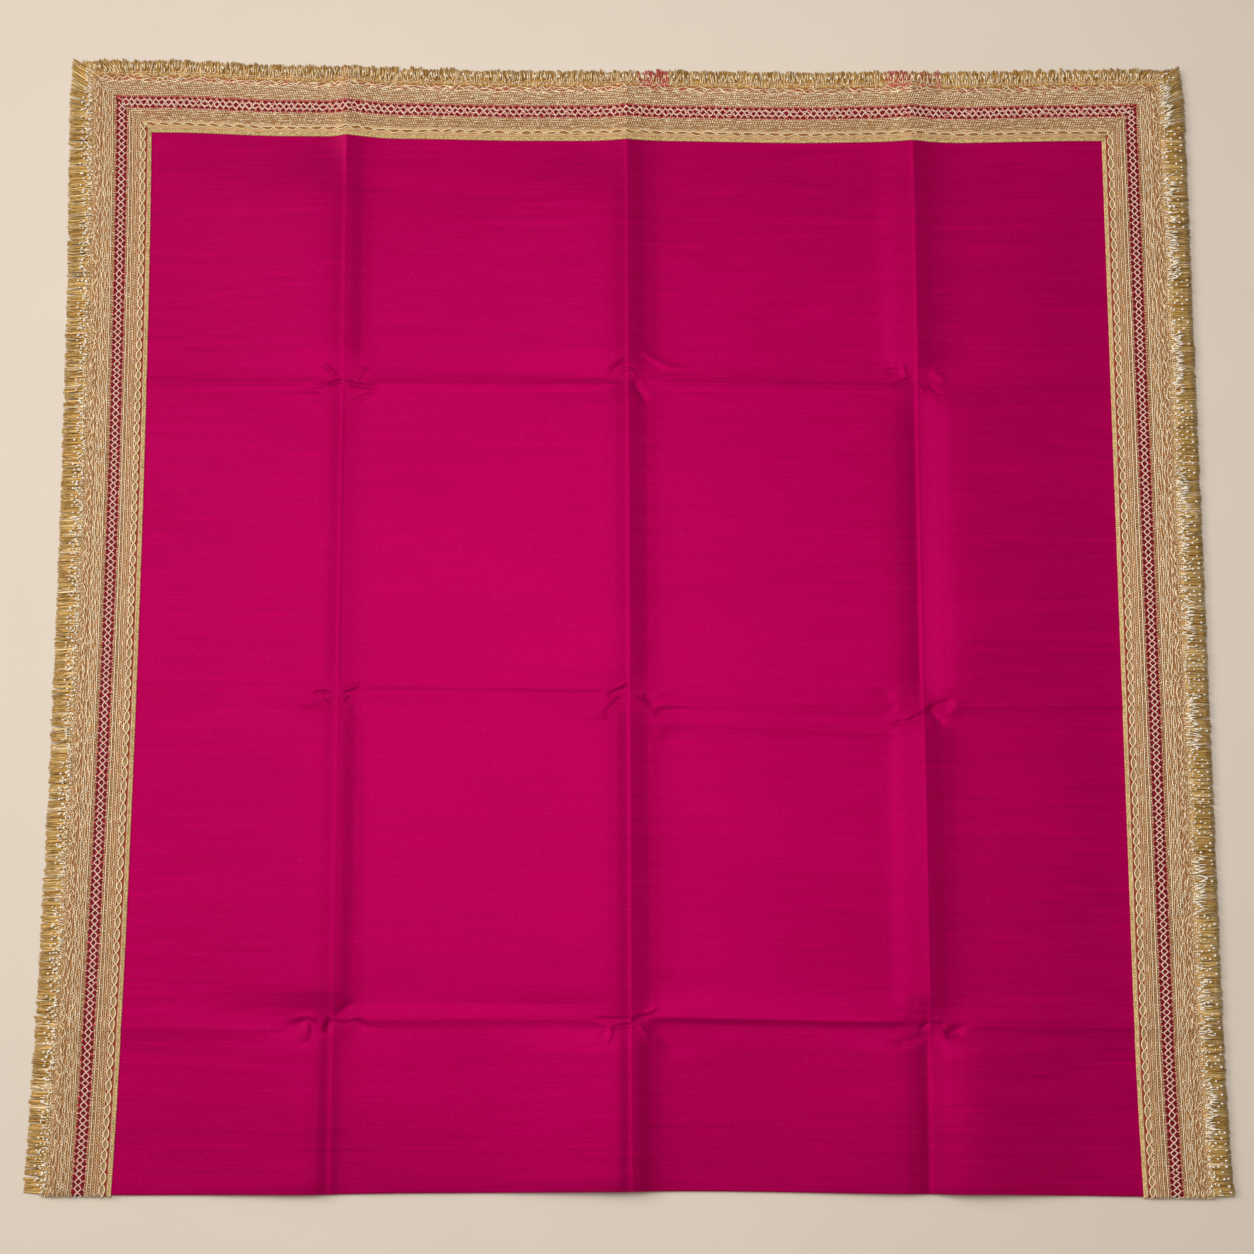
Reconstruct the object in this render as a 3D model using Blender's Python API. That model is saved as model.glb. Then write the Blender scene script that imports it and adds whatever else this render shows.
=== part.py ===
"""A saree laid flat: its finished end on top with lace and fringe, the rest folded beneath.

Metres, +Z up. X runs across the cloth, from its left edge to its right edge, and Y along it, from
the near fold to the finished far end. The origin is on the floor, below the middle of the part.
"""
import math

import bmesh
import bpy
import numpy as np

# Driving dimensions of the stretch that lies on top
HALF_WIDTH = 0.559          # half of the 44-inch cloth, selvedge to selvedge
NEAR = -0.5735              # where the cloth starts to turn down at the near fold
FAR = 0.5510                # the cut edge of the finished end
WALL = 0.0010               # thickness of the cloth
GAP = 0.0003                # clearance between pieces that touch
TOP_LEVEL = 0.0049          # upper side of the cloth along its edges
CROWN = 0.0020              # how much higher the panels lie than the edges
CROWN_SLOPE = 0.080         # breadth of the slope from the lace up to the crown
SIDE_BOW = 0.0098           # how far the left edge draws in at mid length
SIDE_FLARE = 0.0040         # how far the right edge stands out at the near fold
FLARE_SHARE = 0.16          # share of the length over which it does
NOSE = 0.0024               # how far the near fold stands out
FLAP = 0.0080               # the part of the cloth turned under the near fold

# The hidden stretch, folded zigzag
LAYERS = 4
LAYER = 0.0009
LAYER_ROUND = 0.0014        # depth of the groove between two layers
LAYER_SLIP = 0.0012         # how much further in every second layer lies
LAYER_EDGE = ((0.0, 1.0), (0.25, 0.15), (0.75, 0.15), (1.0, 1.0))   # height share, rounding share
STACK_INSET = 0.0060        # how far its edges lie inside the top stretch
STACK_INSET_FAR = 0.0160
STACK_CORNER = 0.012

# Lace and fringe
LACE = 0.0630               # width of the lace tape
LACE_TURN = math.radians(112)   # how far the side lace follows the near fold
HEADING = 0.0022            # width of the strip that the fringe hangs from
HEADING_LOW = 0.0030
HEADING_HIGH = 0.0058
FRINGE_SIDE = 0.0205
FRINGE_FAR = 0.0160
LOCK_PITCH = 0.0140
LOCK_ROOT = 0.0092
LOCK_BEND = 0.55            # share of a lock's length at which it bends down
BEND_LEVEL = 0.0026
BEND_WIDTH = 0.0066
BEND_THICKNESS = 0.0014
TIP_LEVEL = 0.0008
TIP_WIDTH = 0.0048
FAN_REACH = 0.070           # stretch beside a corner in which the locks fan out
FAN_ANGLE = math.radians(38)

# Storage creases along the cloth: place at the near fold and at the far edge, reach of the slope on
# the left and on the right, and height in each of the four panels. A negative height is a valley.
LONG_CREASES = (
    {"near": -0.2845, "far": -0.2905, "left": 0.026, "right": 0.044,
     "heights": (-0.0018, 0.0044, -0.0018, 0.0046), "edge": 0.0066},
    {"near": 0.0063, "far": 0.0010, "left": 0.030, "right": 0.046,
     "heights": (0.0048, 0.0050, 0.0048, 0.0050), "edge": 0.0062},
    {"near": 0.2960, "far": 0.2985, "left": 0.044, "right": 0.046,
     "heights": (-0.0020, 0.0040, -0.0020, 0.0042), "edge": 0.0070},
)
# Storage creases across the cloth: distance from the near fold, height and reach, and how far the
# line strays along Y at the left edge, at the three long creases and at the right edge
CROSS_CREASES = (
    {"from_fold": 0.1620, "height": 0.0024, "reach": 0.020,
     "stray": (0.0030, 0.0020, 0.0010, -0.0020, -0.0040)},
    {"from_fold": 0.4750, "height": 0.0014, "reach": 0.016,
     "stray": (0.0130, 0.0080, 0.0060, -0.0060, -0.0030)},
    {"from_fold": 0.8050, "height": 0.0012, "reach": 0.016,
     "stray": (0.0010, 0.0020, 0.0010, -0.0030, -0.0030)},
)
CROSSING_KEEP = 0.35        # share of a long crease's height that is left at a crossing
CROSSING_REACH = 0.036
PUCKER = 0.0018
PUCKER_OUT = 0.026
PUCKER_LENGTH = 0.013
PUCKER_BREADTH = 0.006
# How far the two ends of the cloth stray along Y: x and shift
FAR_STRAY = ((-0.559, 0.0140), (-0.480, 0.0130), (-0.350, 0.0078), (-0.290, 0.0070), (-0.226, 0.0040),
             (-0.101, 0.0015), (0.024, 0.0014), (0.180, -0.0008), (0.274, 0.0008), (0.337, -0.0004),
             (0.470, 0.0022), (0.559, 0.0038))
NEAR_STRAY = ((-0.559, -0.0008), (-0.330, -0.0004), (-0.200, 0.0012), (0.060, 0.0030), (0.300, 0.0003),
              (0.559, -0.0024))

# The lace from its outer edge inwards: width of each band, and its height at the rim and on top
LACE_BANDS = (
    {"band": "header cord", "width": 0.0090, "rim": 0.0010, "top": 0.0018},
    {"band": "outer threads", "width": 0.0150, "rim": 0.0010, "top": 0.0012},
    {"band": "red net", "width": 0.0145, "rim": 0.0010, "top": 0.0015},
    {"band": "inner threads", "width": 0.0120, "rim": 0.0010, "top": 0.0012},
    {"band": "chain braid", "width": 0.0080, "rim": 0.0010, "top": 0.0021},
    {"band": "picot", "width": 0.0045, "rim": 0.0010, "top": 0.0016},
)
BAND_SHOULDER = 0.22        # share of a band's width over which it rises from its rim

PINK = (0.430, 0.000, 0.085)
PINK_DEEP = (0.300, 0.000, 0.060)
LACE_GOLD = (0.560, 0.370, 0.170)
THREAD_GOLD = (0.400, 0.235, 0.065)

UP = np.array([0.0, 0.0, 1.0])


def ease(value):
    """Smooth step from 0 to 1."""
    value = np.clip(value, 0.0, 1.0)
    return value * value * (3.0 - 2.0 * value)


def through(x, places, values):
    """Curve through the values at the places, level at each of them."""
    x = np.clip(x, places[0], places[-1])
    place = np.clip(np.searchsorted(places, x, side="right") - 1, 0, len(places) - 2)
    low = np.take(places, place)
    high = np.take(places, place + 1)
    start = np.take(values, place)
    return start + (np.take(values, place + 1) - start) * ease((x - low) / (high - low))


def across_places():
    """Nominal x of the two edges and of the long creases."""
    middle = [(crease["near"] + crease["far"]) / 2 for crease in LONG_CREASES]
    return np.array([-HALF_WIDTH, *middle, HALF_WIDTH])


def along_places():
    """Nominal y of the two ends and of the cross creases."""
    return np.array([NEAR, *(NEAR + crease["from_fold"] for crease in CROSS_CREASES), FAR])


def long_crease_x(crease, y):
    """x of a long crease at y, a straight line from the near fold to the far edge."""
    share = (y - NEAR) / (FAR - NEAR)
    return crease["near"] + (crease["far"] - crease["near"]) * share


def lay_x(x, y):
    """x on the floor: the left edge bows in, the right one flares out, and the creases lean a little."""
    share = (y - NEAR) / (FAR - NEAR)
    places = across_places()
    result = x.astype(float)
    weights = [np.interp(x, places, row) for row in np.eye(len(places))]
    result = result + weights[0] * SIDE_BOW * np.clip(4 * share * (1 - share), 0.0, 1.0) ** 0.75
    result = result + weights[-1] * SIDE_FLARE * np.clip(1.0 - share / FLARE_SHARE, 0.0, 1.0) ** 2
    for weight, place, crease in zip(weights[1:-1], places[1:-1], LONG_CREASES):
        result = result + weight * (long_crease_x(crease, y) - place)
    return result


def lay_y(x, y):
    """y on the floor: the two ends and the cross creases are a little wavy."""
    places = along_places()
    across = across_places()
    weights = [np.interp(y, places, row) for row in np.eye(len(places))]
    near_x, near_shift = np.transpose(NEAR_STRAY)
    far_x, far_shift = np.transpose(FAR_STRAY)
    result = y + weights[0] * through(x, near_x, near_shift)
    result = result + weights[-1] * through(x, far_x, far_shift)
    for weight, crease in zip(weights[1:-1], CROSS_CREASES):
        result = result + weight * through(x, across, np.array(crease["stray"]))
    return result


def cusp(offset, left, right):
    """A fold's cross-section: 1 at the line, sloping down to 0 at its reach on either side."""
    reach = np.where(offset < 0, left, right)
    return np.clip(1.0 - np.abs(offset) / reach, 0.0, 1.0) ** 2


def long_crease_height(crease, y):
    """Height of a long crease along the cloth: its own in each panel, less at each crossing."""
    lines = along_places()
    heights = crease["heights"]
    places = [lines[0]]
    values = [max(0.7 * heights[0], 0.0)]
    for index, line in enumerate(lines[1:-1]):
        before, after = heights[index], heights[index + 1]
        places += [line - CROSSING_REACH, line, line + CROSSING_REACH]
        values += [before, CROSSING_KEEP * (before + after) / 2, after]
    places += [FAR - 2 * LACE, FAR - LACE, FAR]
    values += [heights[-1], crease["edge"], crease["edge"]]
    return through(y, np.array(places), np.array(values))


def top_level(x, y):
    """Height of the cloth's upper side at nominal x and y."""
    edge = np.minimum(HALF_WIDTH - np.abs(x), FAR - y) - LACE
    level = TOP_LEVEL + CROWN * ease(edge / CROWN_SLOPE) * ease((y - NEAR) / CROWN_SLOPE)
    across = across_places()[1:-1]
    along = along_places()[1:-1]
    for place, crease in zip(across, LONG_CREASES):
        level = level + long_crease_height(crease, y) * cusp(x - place, crease["left"], crease["right"])
    side_fade = 0.5 + 0.5 * ease((HALF_WIDTH - np.abs(x)) / LACE - 1.0)
    for line, crease in zip(along, CROSS_CREASES):
        level = level + side_fade * crease["height"] * cusp(y - line, crease["reach"], crease["reach"])
        for place in across:
            out = (np.abs(x - place) - PUCKER_OUT) / PUCKER_LENGTH
            level = level + PUCKER * np.exp(-out ** 2 - ((y - line) / PUCKER_BREADTH) ** 2)
    return level


def cloth_point(x, y, turn, lift):
    """A point of the cloth, moved out by lift. turn is the angle it has gone round the near fold."""
    x, y, turn, lift = np.broadcast_arrays(x, y, turn, lift)
    middle = top_level(x, y) / 2
    flat_x = lay_x(x, y)
    flat_y = lay_y(x, y) - (NOSE + lift) * np.sin(turn)
    return np.stack((flat_x, flat_y, middle + (middle + lift) * np.cos(turn)), axis=-1)


def material(name, colour, roughness, metallic=0.0):
    """A material for one kind of cloth or thread."""
    made = bpy.data.materials.new(name)
    made.use_nodes = True
    shader = made.node_tree.nodes["Principled BSDF"]
    shader.inputs["Base Color"].default_value = (*colour, 1.0)
    shader.inputs["Roughness"].default_value = roughness
    shader.inputs["Metallic"].default_value = metallic
    return made


def solid(name, points, faces, finish):
    """One closed solid from its points and faces, with the faces turned outwards."""
    shape = bmesh.new()
    corners = [shape.verts.new(point) for point in points]
    for face in faces:
        shape.faces.new([corners[index] for index in face])
    bmesh.ops.recalc_face_normals(shape, faces=shape.faces)
    mesh = bpy.data.meshes.new(name)
    shape.to_mesh(mesh)
    shape.free()
    mesh.shade_smooth()
    mesh.set_sharp_from_angle(angle=math.radians(40))
    mesh.materials.append(finish)
    made = bpy.data.objects.new(name, mesh)
    bpy.context.scene.collection.objects.link(made)
    return made


def rings(name, sections, finish):
    """A solid through closed rings of points, with its first and last ring filled."""
    count, around = sections.shape[:2]
    number = np.arange(count * around).reshape(count, around)
    following = np.roll(number, -1, axis=1)
    sides = np.stack((number[:-1], following[:-1], following[1:], number[1:]), axis=-1)
    faces = [list(side) for side in sides.reshape(-1, 4).tolist()]
    faces.append(number[0].tolist())
    faces.append(number[-1].tolist())
    return solid(name, sections.reshape(-1, 3).tolist(), faces, finish)


def wall(name, outer, inner, finish):
    """A solid between two grids of points, closed all round its rim."""
    rows, columns = outer.shape[:2]
    number = np.arange(rows * columns).reshape(rows, columns)

    def patch(grid):
        quads = np.stack((grid[:-1, :-1], grid[:-1, 1:], grid[1:, 1:], grid[1:, :-1]), axis=-1)
        return quads.reshape(-1, 4).tolist()

    faces = patch(number) + patch(number + rows * columns)
    rim = np.concatenate((number[0], number[1:, -1], number[-1, -2::-1], number[-2:0:-1, 0]))
    for first, second in zip(rim, np.roll(rim, -1)):
        faces.append([first, second, second + rows * columns, first + rows * columns])
    points = np.concatenate((outer.reshape(-1, 3), inner.reshape(-1, 3)))
    return solid(name, points.tolist(), faces, finish)


def column_places():
    """Nominal x of the cloth's columns: close together at the long creases."""
    places = [-HALF_WIDTH, -HALF_WIDTH + LACE, HALF_WIDTH - LACE, HALF_WIDTH]
    places += [-HALF_WIDTH + LACE + CROWN_SLOPE * 0.7, HALF_WIDTH - LACE - CROWN_SLOPE * 0.7]
    across = across_places()
    for place, crease in zip(across[1:-1], LONG_CREASES):
        places += [place - crease["left"] * share for share in (1.0, 0.55, 0.2)]
        places.append(place)
        places += [place + crease["right"] * share for share in (0.15, 0.5, 1.0)]
    places += [(across[1] + across[2]) / 2, (across[2] + across[3]) / 2]
    return np.sort(places)


def row_places():
    """Nominal y of the cloth's level rows: close together at the cross creases."""
    places = [NEAR, NEAR + CROWN_SLOPE * 0.6, FAR - LACE, FAR, FAR - LACE - CROWN_SLOPE * 0.7]
    along = along_places()
    for line, crease in zip(along[1:-1], CROSS_CREASES):
        places += [line + crease["reach"] * share for share in (-2.2, -1.0, -0.3, 0.0, 0.3, 1.0, 2.2)]
    places += [(along[1] + along[2]) / 2, (along[2] + along[3]) / 2, (along[3] + along[4]) / 2]
    return np.sort(places)


def turned_rows(last_turn, steps):
    """Rows that go round the near fold, from its far side back up to the level cloth."""
    turns = np.linspace(last_turn, 0.0, steps + 1)[:-1]
    return [(NEAR, turn) for turn in turns]


def make_top_stretch(finish):
    """The finished end on top: a wall with storage creases that turns under at the near fold."""
    columns = column_places()[None, :]
    rows = turned_rows(math.pi, 6) + [(place, 0.0) for place in row_places()]
    along, turn = np.transpose(rows)
    outer = cloth_point(columns, along[:, None], turn[:, None], 0.0)
    inner = cloth_point(columns, along[:, None], turn[:, None], -WALL)
    flap_outer = outer[:1] + (0.0, FLAP, 0.0)
    flap_inner = inner[:1] + (0.0, FLAP, 0.0)
    outer = np.concatenate((flap_outer, outer))
    inner = np.concatenate((flap_inner, inner))
    return wall("top_stretch", outer, inner, finish)


def stack_outline(inset):
    """Outline of the folded layers at an inset: the top stretch's edges, moved in and rounded."""
    left = -HALF_WIDTH + STACK_INSET + inset
    right = HALF_WIDTH - STACK_INSET - inset
    near = NEAR + FLAP + 2 * GAP + inset
    far = FAR - STACK_INSET_FAR - inset
    quarter = np.radians(np.linspace(0, 90, 4))
    outline = []
    for x, y, start in ((right, far, 0), (left, far, 90), (left, near, 180), (right, near, 270)):
        centre_x = x - math.copysign(STACK_CORNER, x)
        centre_y = y - math.copysign(STACK_CORNER, y)
        angles = quarter + math.radians(start)
        corner = np.stack((centre_x + STACK_CORNER * np.cos(angles),
                           centre_y + STACK_CORNER * np.sin(angles)), axis=-1)
        outline.append(corner)
    filled = []
    for index, corner in enumerate(outline):
        ahead = outline[(index + 1) % 4][0]
        shares = np.linspace(0, 1, 7)[1:-1, None]
        filled += [corner, corner[-1] + (ahead - corner[-1]) * shares]
    x, y = np.concatenate(filled).T
    return np.stack((lay_x(x, y), lay_y(x, y)), axis=-1)


def make_folded_stretch(finish):
    """The four hidden layers: one rounded solid, grooved between the layers, flat beneath."""
    sections = []
    for layer in range(LAYERS):
        for share, rounding in LAYER_EDGE:
            if share == 1.0 and layer < LAYERS - 1:
                continue
            inset = LAYER_SLIP * (layer % 2) + LAYER_ROUND * rounding
            outline = stack_outline(inset)
            level = np.full((len(outline), 1), (layer + share) * LAYER)
            sections.append(np.concatenate((outline, level), axis=1))
    return rings("folded_stretch", np.array(sections), finish)


def lace_profile():
    """Across the lace from its outer edge: distance in, and height of the outer side."""
    places = [0.0]
    heights = [LACE_BANDS[0]["rim"]]
    for band in LACE_BANDS:
        start = places[-1]
        places += [start + band["width"] * share for share in (BAND_SHOULDER, 1.0 - BAND_SHOULDER, 1.0)]
        heights += [band["top"], band["top"], band["rim"]]
    return np.array(places), np.array(heights)


def lace_sections(points):
    """Rings of a lace tape. points gives the cloth's points for a distance in and a lift."""
    inside, heights = lace_profile()
    outer = points(inside, GAP + heights)
    base = np.array([inside[-1], inside[0]])
    inner = points(base, np.array([GAP, GAP]))
    return np.concatenate((outer, inner), axis=1)


def make_side_lace(name, side, finish):
    """Lace along one side: mitred at the far corner, turned down over the near fold."""
    mitre_start = FAR - 1.2 * LACE
    level_rows = [place for place in row_places() if place < mitre_start] + [mitre_start]
    rows = turned_rows(LACE_TURN, 4) + [(place, 0.0) for place in level_rows]
    along, turn = np.transpose(rows)

    def points(inside, lift):
        x = side * (HALF_WIDTH - inside)[None, :]
        straight = cloth_point(x, along[:, None], turn[:, None], lift[None, :])
        mitre = FAR - inside - GAP
        end = cloth_point(x, mitre[None, :], 0.0, lift[None, :])
        return np.concatenate((straight, end))

    return rings(name, lace_sections(points), finish)


def make_far_lace(name, finish):
    """Lace across the finished end, mitred at both corners."""
    reach = HALF_WIDTH - 1.2 * LACE
    columns = np.array([place for place in column_places() if abs(place) < reach])
    columns = np.concatenate(([-reach], columns, [reach]))

    def points(inside, lift):
        y = (FAR - inside)[None, :]
        straight = cloth_point(columns[:, None], y, 0.0, lift[None, :])
        mitre = HALF_WIDTH - inside - GAP
        ends = [cloth_point(end * mitre[None, :], y, 0.0, lift[None, :]) for end in (-1, 1)]
        return np.concatenate((ends[0], straight, ends[1]))

    return rings(name, lace_sections(points), finish)


def lock_angles(middle, start, end, fans):
    """Angle of each lock from straight out: a slight sway, and a fan beside a corner."""
    number = np.arange(len(middle))
    sway = np.radians(4.5) * np.sin(1.3 * number) + np.radians(2.5) * np.sin(0.47 * number + 1.0)
    near_start = fans[0] * ease(1.0 - (middle - start) / FAN_REACH)
    near_end = fans[1] * ease(1.0 - (end - middle) / FAN_REACH)
    calm = 1.0 - np.maximum(near_start, near_end)
    return sway * calm + FAN_ANGLE * (near_end - near_start)


def lock_lengths(count, length, angles):
    """Length of each lock: slightly uneven, and longer where the locks fan out round a corner."""
    number = np.arange(count)
    uneven = 1.0 + 0.09 * np.sin(2.1 * number) + 0.05 * np.sin(0.9 * number)
    return (length - HEADING - GAP) * uneven * (1.0 + 0.25 * np.abs(np.sin(angles)))


def comb_faces(count):
    """Faces of a heading with locks, for points in the order that make_fringe stacks them."""
    ends = 2 * count
    high, low, back_high, back_low = (number * ends for number in range(4))
    bend = 4 * ends
    tip = bend + 4 * count
    faces = []
    for a in range(ends - 1):
        b = a + 1
        faces.append([high + a, high + b, back_high + b, back_high + a])
        faces.append([low + a, back_low + a, back_low + b, low + b])
        faces.append([back_high + a, back_high + b, back_low + b, back_low + a])
        if a % 2 == 1:
            faces.append([high + a, low + a, low + b, high + b])
    for a in (0, ends - 1):
        faces.append([high + a, back_high + a, back_low + a, low + a])
    for lock in range(count):
        left, right = 2 * lock, 2 * lock + 1
        root = [high + left, high + right, low + right, low + left]
        middle = [bend + 4 * lock + corner for corner in range(4)]
        first, second = tip + 2 * lock, tip + 2 * lock + 1
        for corner in range(4):
            after = (corner + 1) % 4
            faces.append([root[corner], root[after], middle[after], middle[corner]])
        faces.append([middle[0], middle[1], second, first])
        faces.append([middle[3], first, second, middle[2]])
        faces.append([middle[0], first, middle[3]])
        faces.append([middle[1], middle[2], second])
    return faces


def make_fringe(name, corners, out, length, fans, finish):
    """Locks of thread fused to a narrow heading that runs just outside the cloth's edge.

    corners are the edge's places and its points there, out is the direction away from the cloth, and
    fans says whether the locks fan out at the first and at the last end.
    """
    places, edge = corners
    start, end = places[0], places[-1]
    count = int((end - start) / LOCK_PITCH)
    middle = start + (np.arange(count) + 0.5) * (end - start) / count
    stations = np.stack((middle - LOCK_ROOT / 2, middle + LOCK_ROOT / 2), axis=1).reshape(-1)
    stations[0] = start
    stations[-1] = end
    line = np.stack([np.interp(stations, places, edge[:, axis]) for axis in range(3)], axis=1)
    rise = line[:, 2] - TOP_LEVEL
    floor = line * (1.0, 1.0, 0.0)
    heading = []
    for distance, level in ((GAP + HEADING, HEADING_HIGH), (GAP + HEADING, HEADING_LOW),
                            (GAP, HEADING_HIGH), (GAP, HEADING_LOW)):
        heading.append(floor + out * distance + UP * (level + rise)[:, None])

    angles = lock_angles(middle, start, end, fans)
    reach = lock_lengths(count, length, angles)[:, None]
    along = np.abs(np.roll(out, 1) * (1.0, 1.0, 0.0) + np.roll(out, -1) * (1.0, 1.0, 0.0))
    way = out * np.cos(angles)[:, None] + along * np.sin(angles)[:, None]
    beside = along * np.cos(angles)[:, None] - out * np.sin(angles)[:, None]
    root = heading[0].reshape(count, 2, 3).mean(axis=1) * (1.0, 1.0, 0.0)
    lifted = np.maximum(rise.reshape(count, 2).mean(axis=1), 0.0)[:, None]

    bend = root + way * LOCK_BEND * reach + UP * (BEND_LEVEL + 0.75 * lifted)
    tip = root + way * reach + UP * (TIP_LEVEL + 0.4 * lifted)
    half = BEND_THICKNESS / 2
    bends = [bend + beside * BEND_WIDTH / 2 * side + UP * half * level
             for side, level in ((-1, 1), (1, 1), (1, -1), (-1, -1))]
    tips = [tip + beside * TIP_WIDTH / 2 * side for side in (-1, 1)]
    points = heading + [np.stack(bends, axis=1).reshape(-1, 3), np.stack(tips, axis=1).reshape(-1, 3)]
    return solid(name, np.concatenate(points).tolist(), comb_faces(count), finish)


def make_fringes(finish):
    """Fringe on the three finished edges, fanned out at the two far corners."""
    rows = row_places()
    for name, side in (("fringe_left", -1), ("fringe_right", 1)):
        edge = cloth_point(side * HALF_WIDTH, rows, 0.0, 0.0)
        make_fringe(name, (rows, edge), np.array([side, 0.0, 0.0]), FRINGE_SIDE, (0, 1), finish)
    columns = column_places()
    edge = cloth_point(columns, FAR, 0.0, 0.0)
    make_fringe("fringe_far", (columns, edge), np.array([0.0, 1.0, 0.0]), FRINGE_FAR, (1, 1), finish)


def main():
    for old in list(bpy.data.objects):
        bpy.data.objects.remove(old)
    cloth = material("pink_silk", PINK, 0.45)
    hidden = material("pink_silk_hidden", PINK_DEEP, 0.55)
    lace = material("gold_lace", LACE_GOLD, 0.50, 0.3)
    thread = material("gold_thread", THREAD_GOLD, 0.40, 0.6)
    make_top_stretch(cloth)
    make_folded_stretch(hidden)
    make_side_lace("lace_left", -1, lace)
    make_side_lace("lace_right", 1, lace)
    make_far_lace("lace_far", lace)
    make_fringes(thread)


main()
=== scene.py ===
"""A saree laid flat with its finished end on top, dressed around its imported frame.

Metres, +Z up. X runs across the cloth and Y along it, from the near fold to the finished far end.
The origin is on the floor below the middle of the saree, as in the frame.
"""
import math
from types import SimpleNamespace

import bpy
import numpy as np
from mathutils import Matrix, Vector


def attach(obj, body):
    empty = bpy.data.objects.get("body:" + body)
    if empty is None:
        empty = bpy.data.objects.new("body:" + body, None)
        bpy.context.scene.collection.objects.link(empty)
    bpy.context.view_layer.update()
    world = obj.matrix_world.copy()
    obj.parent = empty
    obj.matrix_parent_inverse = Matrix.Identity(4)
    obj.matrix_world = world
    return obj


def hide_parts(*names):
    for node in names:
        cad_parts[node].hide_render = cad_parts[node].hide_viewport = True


bl_info = {
    "name": "Folded saree",
    "version": (1, 0, 0),
    "blender": (4, 5, 0),
    "location": "3D View > Sidebar > Saree",
    "description": "Makes the silk, lace and fringe of a folded saree around its packed frame",
    "category": "Object",
}

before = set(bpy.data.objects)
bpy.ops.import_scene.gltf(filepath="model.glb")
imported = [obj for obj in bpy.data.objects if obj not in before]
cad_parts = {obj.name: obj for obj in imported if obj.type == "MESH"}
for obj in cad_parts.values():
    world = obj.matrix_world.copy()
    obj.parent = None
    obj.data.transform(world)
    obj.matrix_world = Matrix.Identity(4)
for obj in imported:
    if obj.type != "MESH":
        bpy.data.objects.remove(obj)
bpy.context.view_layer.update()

# The stretch on top, with the sizes that the frame was built from
HALF_WIDTH = 0.559          # half of the 44-inch cloth
NEAR = -0.5735              # where the cloth starts to turn down at the near fold
FAR = 0.5510                # the cut edge of the finished end
TOP_LEVEL = 0.0049          # upper side of the cloth along its edges
CROWN = 0.0020              # how much higher the panels lie
CROWN_SLOPE = 0.080
SIDE_BOW = 0.0098           # how far the left edge draws in at mid length
SIDE_FLARE = 0.0040         # how far the right edge stands out at the near fold
FLARE_SHARE = 0.16          # share of the length over which it does
NOSE = 0.0024               # how far the near fold stands out
NOSE_ARC = 0.0036           # radius at which lace and thread go round the near fold
FLAP = 0.0080
LACE = 0.0630
LACE_TURN = math.radians(94)
FAN_REACH = 0.070
FAN_ANGLE = math.radians(38)

GRID = (0.0014, 0.0150)     # fine and coarse steps of the cloth's grid

# The hidden stretch beneath
LAYERS = 4
LAYER = 0.00088
STACK_INSET = 0.0050
STACK_INSET_FAR = 0.0150
STACK_NEAR = 0.0086

# Storage creases along the cloth. Heights run from the near panel to the far panel, on the left and
# on the right of the line: a negative height is a valley
LONG_CREASES = (
    {"near": -0.2845, "far": -0.2905, "left": 0.026, "right": 0.044, "edge": 0.0066,
     "heights": ((3.9, 3.9, 3.0, 1.1, 1.0, 0.0, -0.2, 0.4, 0.4),
                 (4.9, 5.2, 4.6, 3.7, 3.7, 3.0, 0.9, -0.6, -1.0),
                 (1.9, 2.0, 1.6, 0.5, -0.2, -0.4, -0.7, -0.2, 0.0),
                 (5.5, 5.2, 4.4, 3.5, 3.5, 2.8, 0.7, -0.6, -0.9))},
    {"near": 0.0063, "far": 0.0010, "left": 0.044, "right": 0.046, "edge": 0.0062,
     "heights": ((4.8, 5.6, 6.2, 5.1, 5.1, 4.3, 1.9, 0.3, -0.3),
                 (3.5, 3.7, 3.4, 2.5, 2.5, 1.7, 0.2, -0.7, -1.2),
                 (3.0, 3.4, 3.6, 3.3, 3.3, 2.4, 0.7, -0.2, -0.5),
                 (4.8, 5.1, 5.0, 4.5, 4.3, 3.3, 1.2, -0.5, -1.1))},
    {"near": 0.2960, "far": 0.2985, "left": 0.044, "right": 0.050, "edge": 0.0070,
     "heights": ((2.4, 2.3, 1.2, -0.2, 0.7, 2.7, 5.0, 5.8, 5.9),
                 (0.0, 1.5, 2.5, 3.7, 3.7, 3.1, 1.7, 0.5, 0.0),
                 (0.8, 0.5, -0.4, -1.5, -1.1, -0.3, 1.7, 2.8, 3.0),
                 (0.4, 1.7, 2.8, 3.9, 4.2, 3.5, 2.1, 0.8, 0.0))},
)
# Places across a long crease, in millimetres right of it, that its heights belong to
CREASE_NODES = (-36, -24, -12, -3, 2, 8, 18, 30, 46)
CREASE_FADE = 140
CREASE_HEIGHT = 1.3         # how much taller than in the table the long creases stand
PINCH = 0.00046             # sharp crest along each crease
PINCH_BREADTH = 0.0016
CROSSING_KEEP = 0.5         # share of a long crease's height that is left at a crossing
CROSSING_REACH = 0.032
# Storage creases across the cloth: distance from the near fold, and how far the line strays at the
# edges and at the long creases
CROSS_CREASES = (
    {"from_fold": 0.1620, "stray": (0.0030, 0.0020, 0.0010, -0.0020, -0.0040)},
    {"from_fold": 0.4750, "stray": (0.0130, 0.0080, 0.0060, -0.0060, -0.0030)},
    {"from_fold": 0.8050, "stray": (0.0010, 0.0020, 0.0010, -0.0030, -0.0030)},
)
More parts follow.
